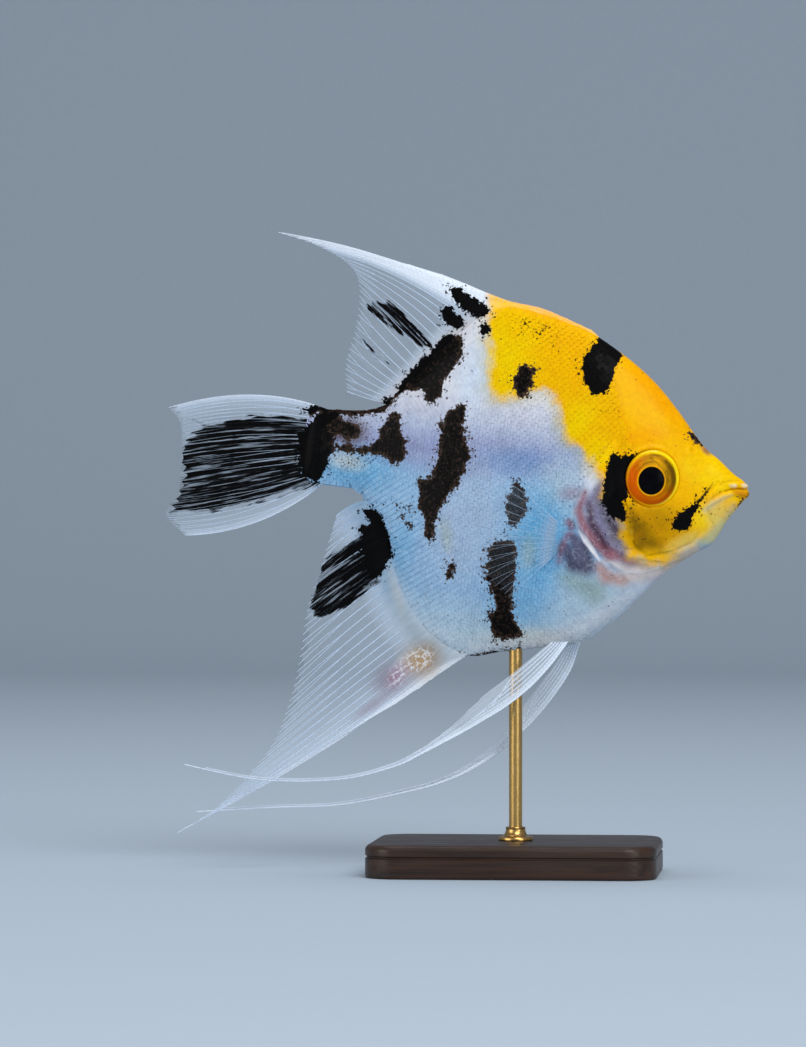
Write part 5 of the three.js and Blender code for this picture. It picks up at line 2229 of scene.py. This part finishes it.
TAIL_KEYS = (
    ((-1.2, 5.2), (-15.5, 9.2), (-31.2, 2.4)), ((-1, 3.4), (-14, 5.4), (-28.9, 0.2)),
    ((-0.8, 1), (-13.5, 0.9), (-28, -3.5)), ((-0.8, -1.6), (-13.5, -4.2), (-27.6, -8.1)),
    ((-0.8, -4), (-13.5, -8.8), (-27.6, -12.9)), ((-1, -6.2), (-13.5, -13.8), (-29.3, -16.9)),
    ((-1.2, -7.8), (-11.6, -18.4), (-25.4, -20.3)),
)
PECTORAL_KEYS = (
    ((43.2, -10.6), (35.9, -4.6), (27.9, -1.6)), ((43, -11.7), (34.4, -8.4), (25.8, -7.8)),
    ((42.8, -12.9), (34.9, -12.6), (26.6, -14.4)), ((42.6, -14.2), (36.2, -16.4), (30, -20.4)),
    ((42.4, -15.4), (38.4, -19.8), (35.2, -24)),
)
PELVIC_RIGHT = (
    (45.8, -28.8, 2), (44.9, -30.9, 2.3), (42.3, -34.6, 3.3), (38.9, -38.7, 4), (35.5, -42.1, 4.1),
    (32, -45.3, 3.5), (28.9, -48.2, 2.6), (25.7, -50.9, 1.8), (22.5, -53.4, 1.3), (17.6, -56.6, 1),
    (8.3, -60.1, 0.75), (-6, -62, 0.65), (-19.8, -61.1, 0.5),
)
PELVIC_LEFT = (
    (47.5, -28.6, 1.8), (47, -31.2, 2.1), (45.6, -35.6, 3), (43, -40.5, 3.3), (40.3, -44.9, 3.1),
    (37.7, -48.6, 2.4), (35, -51.9, 2), (31.5, -55.1, 1.6), (27.6, -57.8, 1.3), (22, -60.5, 1),
    (8.9, -65, 0.7), (-3.6, -67.2, 0.6), (-17.5, -69.8, 0.5),
)
ANAL_WASHES = (
    Wash(Tint.TAN, 20, -37.4, 4, 3.4, 20, 1),
    Wash(Tint.RUST, 15.4, -41.2, 3.8, 2.8, 30, 0.95),
    Wash(Tint.RUST, 12.4, -46.6, 4.6, 1, 42, 0.6),
)
ANAL_PATCH = (
    (22.6, -34.5), (23.3, -37.6), (21.4, -39.5), (18.8, -40.6), (17, -43.3), (14.2, -43.1), (14.4, -39.8),
    (16.2, -36.9), (18.6, -34.4),
)


def middle_fins(fish: FishFrame, markings: Markings) -> list[tuple[RayFin, str]]:
    """The dorsal, anal and tail fins.

    Args:
        fish: the frame they are set in.
        markings: the pattern they wear.

    Returns:
        Each fin with a slot name.
    """
    dorsal = RayFin(
        "dorsal", "dorsal_fin", fish, markings, DORSAL_KEYS, rays=36, sway=0.8, spines=15, girth=0.1,
        forks=(0.74,), fringe=0.035, milk=((0, 0.95), (0.42, 0.97), (0.49, 0.88), (0.55, 0.06), (1, 0.02)),
    )
    anal = RayFin(
        "anal", "anal_fin", fish, markings, ANAL_KEYS, rays=31, sway=-0.6, spines=5, girth=0.14, forks=(0.6,),
        seed=4, washes=ANAL_WASHES, patch=ANAL_PATCH, fleshy=6, fillet=0.9, fade=3,
        milk=((0, 0.9), (0.16, 0.85), (0.27, 0.3), (0.4, 0.12), (1, 0.04)),
    )
    tail = RayFin(
        "tail", "tail_fin", fish, markings, TAIL_KEYS, rays=18, sway=1.2, wave=0.4, spines=1, girth=0.085,
        forks=(0.3, 0.66), fringe=0.02, seed=5, fillet=0.55, fleshy=3,
        milk=((0, 0.6), (0.07, 0.2), (0.2, 0.06), (0.84, 0.06), (0.95, 0.2), (1, 0.5)),
    )
    return [(dorsal, "fin_web"), (anal, "fin_web"), (tail, "tail_web")]


def main() -> None:
    """Builds every piece in order."""
    studio = Studio()
    studio.build(StudioFinish("studio_sweep").material())
    LOG.info("studio ready")
    form = BodyForm()
    fish = FishFrame.from_eyes(form.eye.x, form.eye.z)
    markings = Markings()
    Skin(form, fish, markings).build(SkinFinish("wet_skin").material())
    scale_finish = SkinFinish("wet_scales", coat=0.045, grain=0.02).material()
    for side in Side:
        ScaleCoat(form, fish, markings, side).build(scale_finish)
    web = WebFinish("clear_web").material()
    ray = RayFinish("pale_rays").material()
    for fin, slot in middle_fins(fish, markings):
        fin.build(web, ray, slot)
    clear_web = WebFinish("pectoral_web", clear=0.008).material()
    clear_ray = RayFinish("pectoral_rays", solid=0.12).material()
    iris = IrisFinish("iris").material()
    pupil = PupilFinish("pupil").material()
    cornea = CorneaFinish("cornea").material()
    for side, stations in ((Side.LEFT, PELVIC_LEFT), (Side.RIGHT, PELVIC_RIGHT)):
        name = f"pectoral_{side.word}"
        pectoral = PectoralFin(name, f"pectoral_fin_{side.word}", fish, markings, PECTORAL_KEYS, rays=13,
                               spines=1, girth=0.11, fringe=0.05, marked=False, side=side, form=form,
                               milk=((0, 0.02), (1, 0)))
        pectoral.build(clear_web, clear_ray, "fin_web")
        pelvic = PelvicFin(f"pelvic_{side.word}", f"pelvic_fin_{side.word}", fish, markings, side, stations)
        pelvic.build(web, ray, "fin_web")
        Eye(form, fish, side).build(iris, pupil, cornea)
    Stand().build(
        WoodFinish("walnut").material(),
        BrassFinish("rod_brass", (14, 14, 0.5)).material(),
        BrassFinish("collar_brass").material(),
    )
    LOG.info("sizes written")


if __name__ == "__main__":
    main()
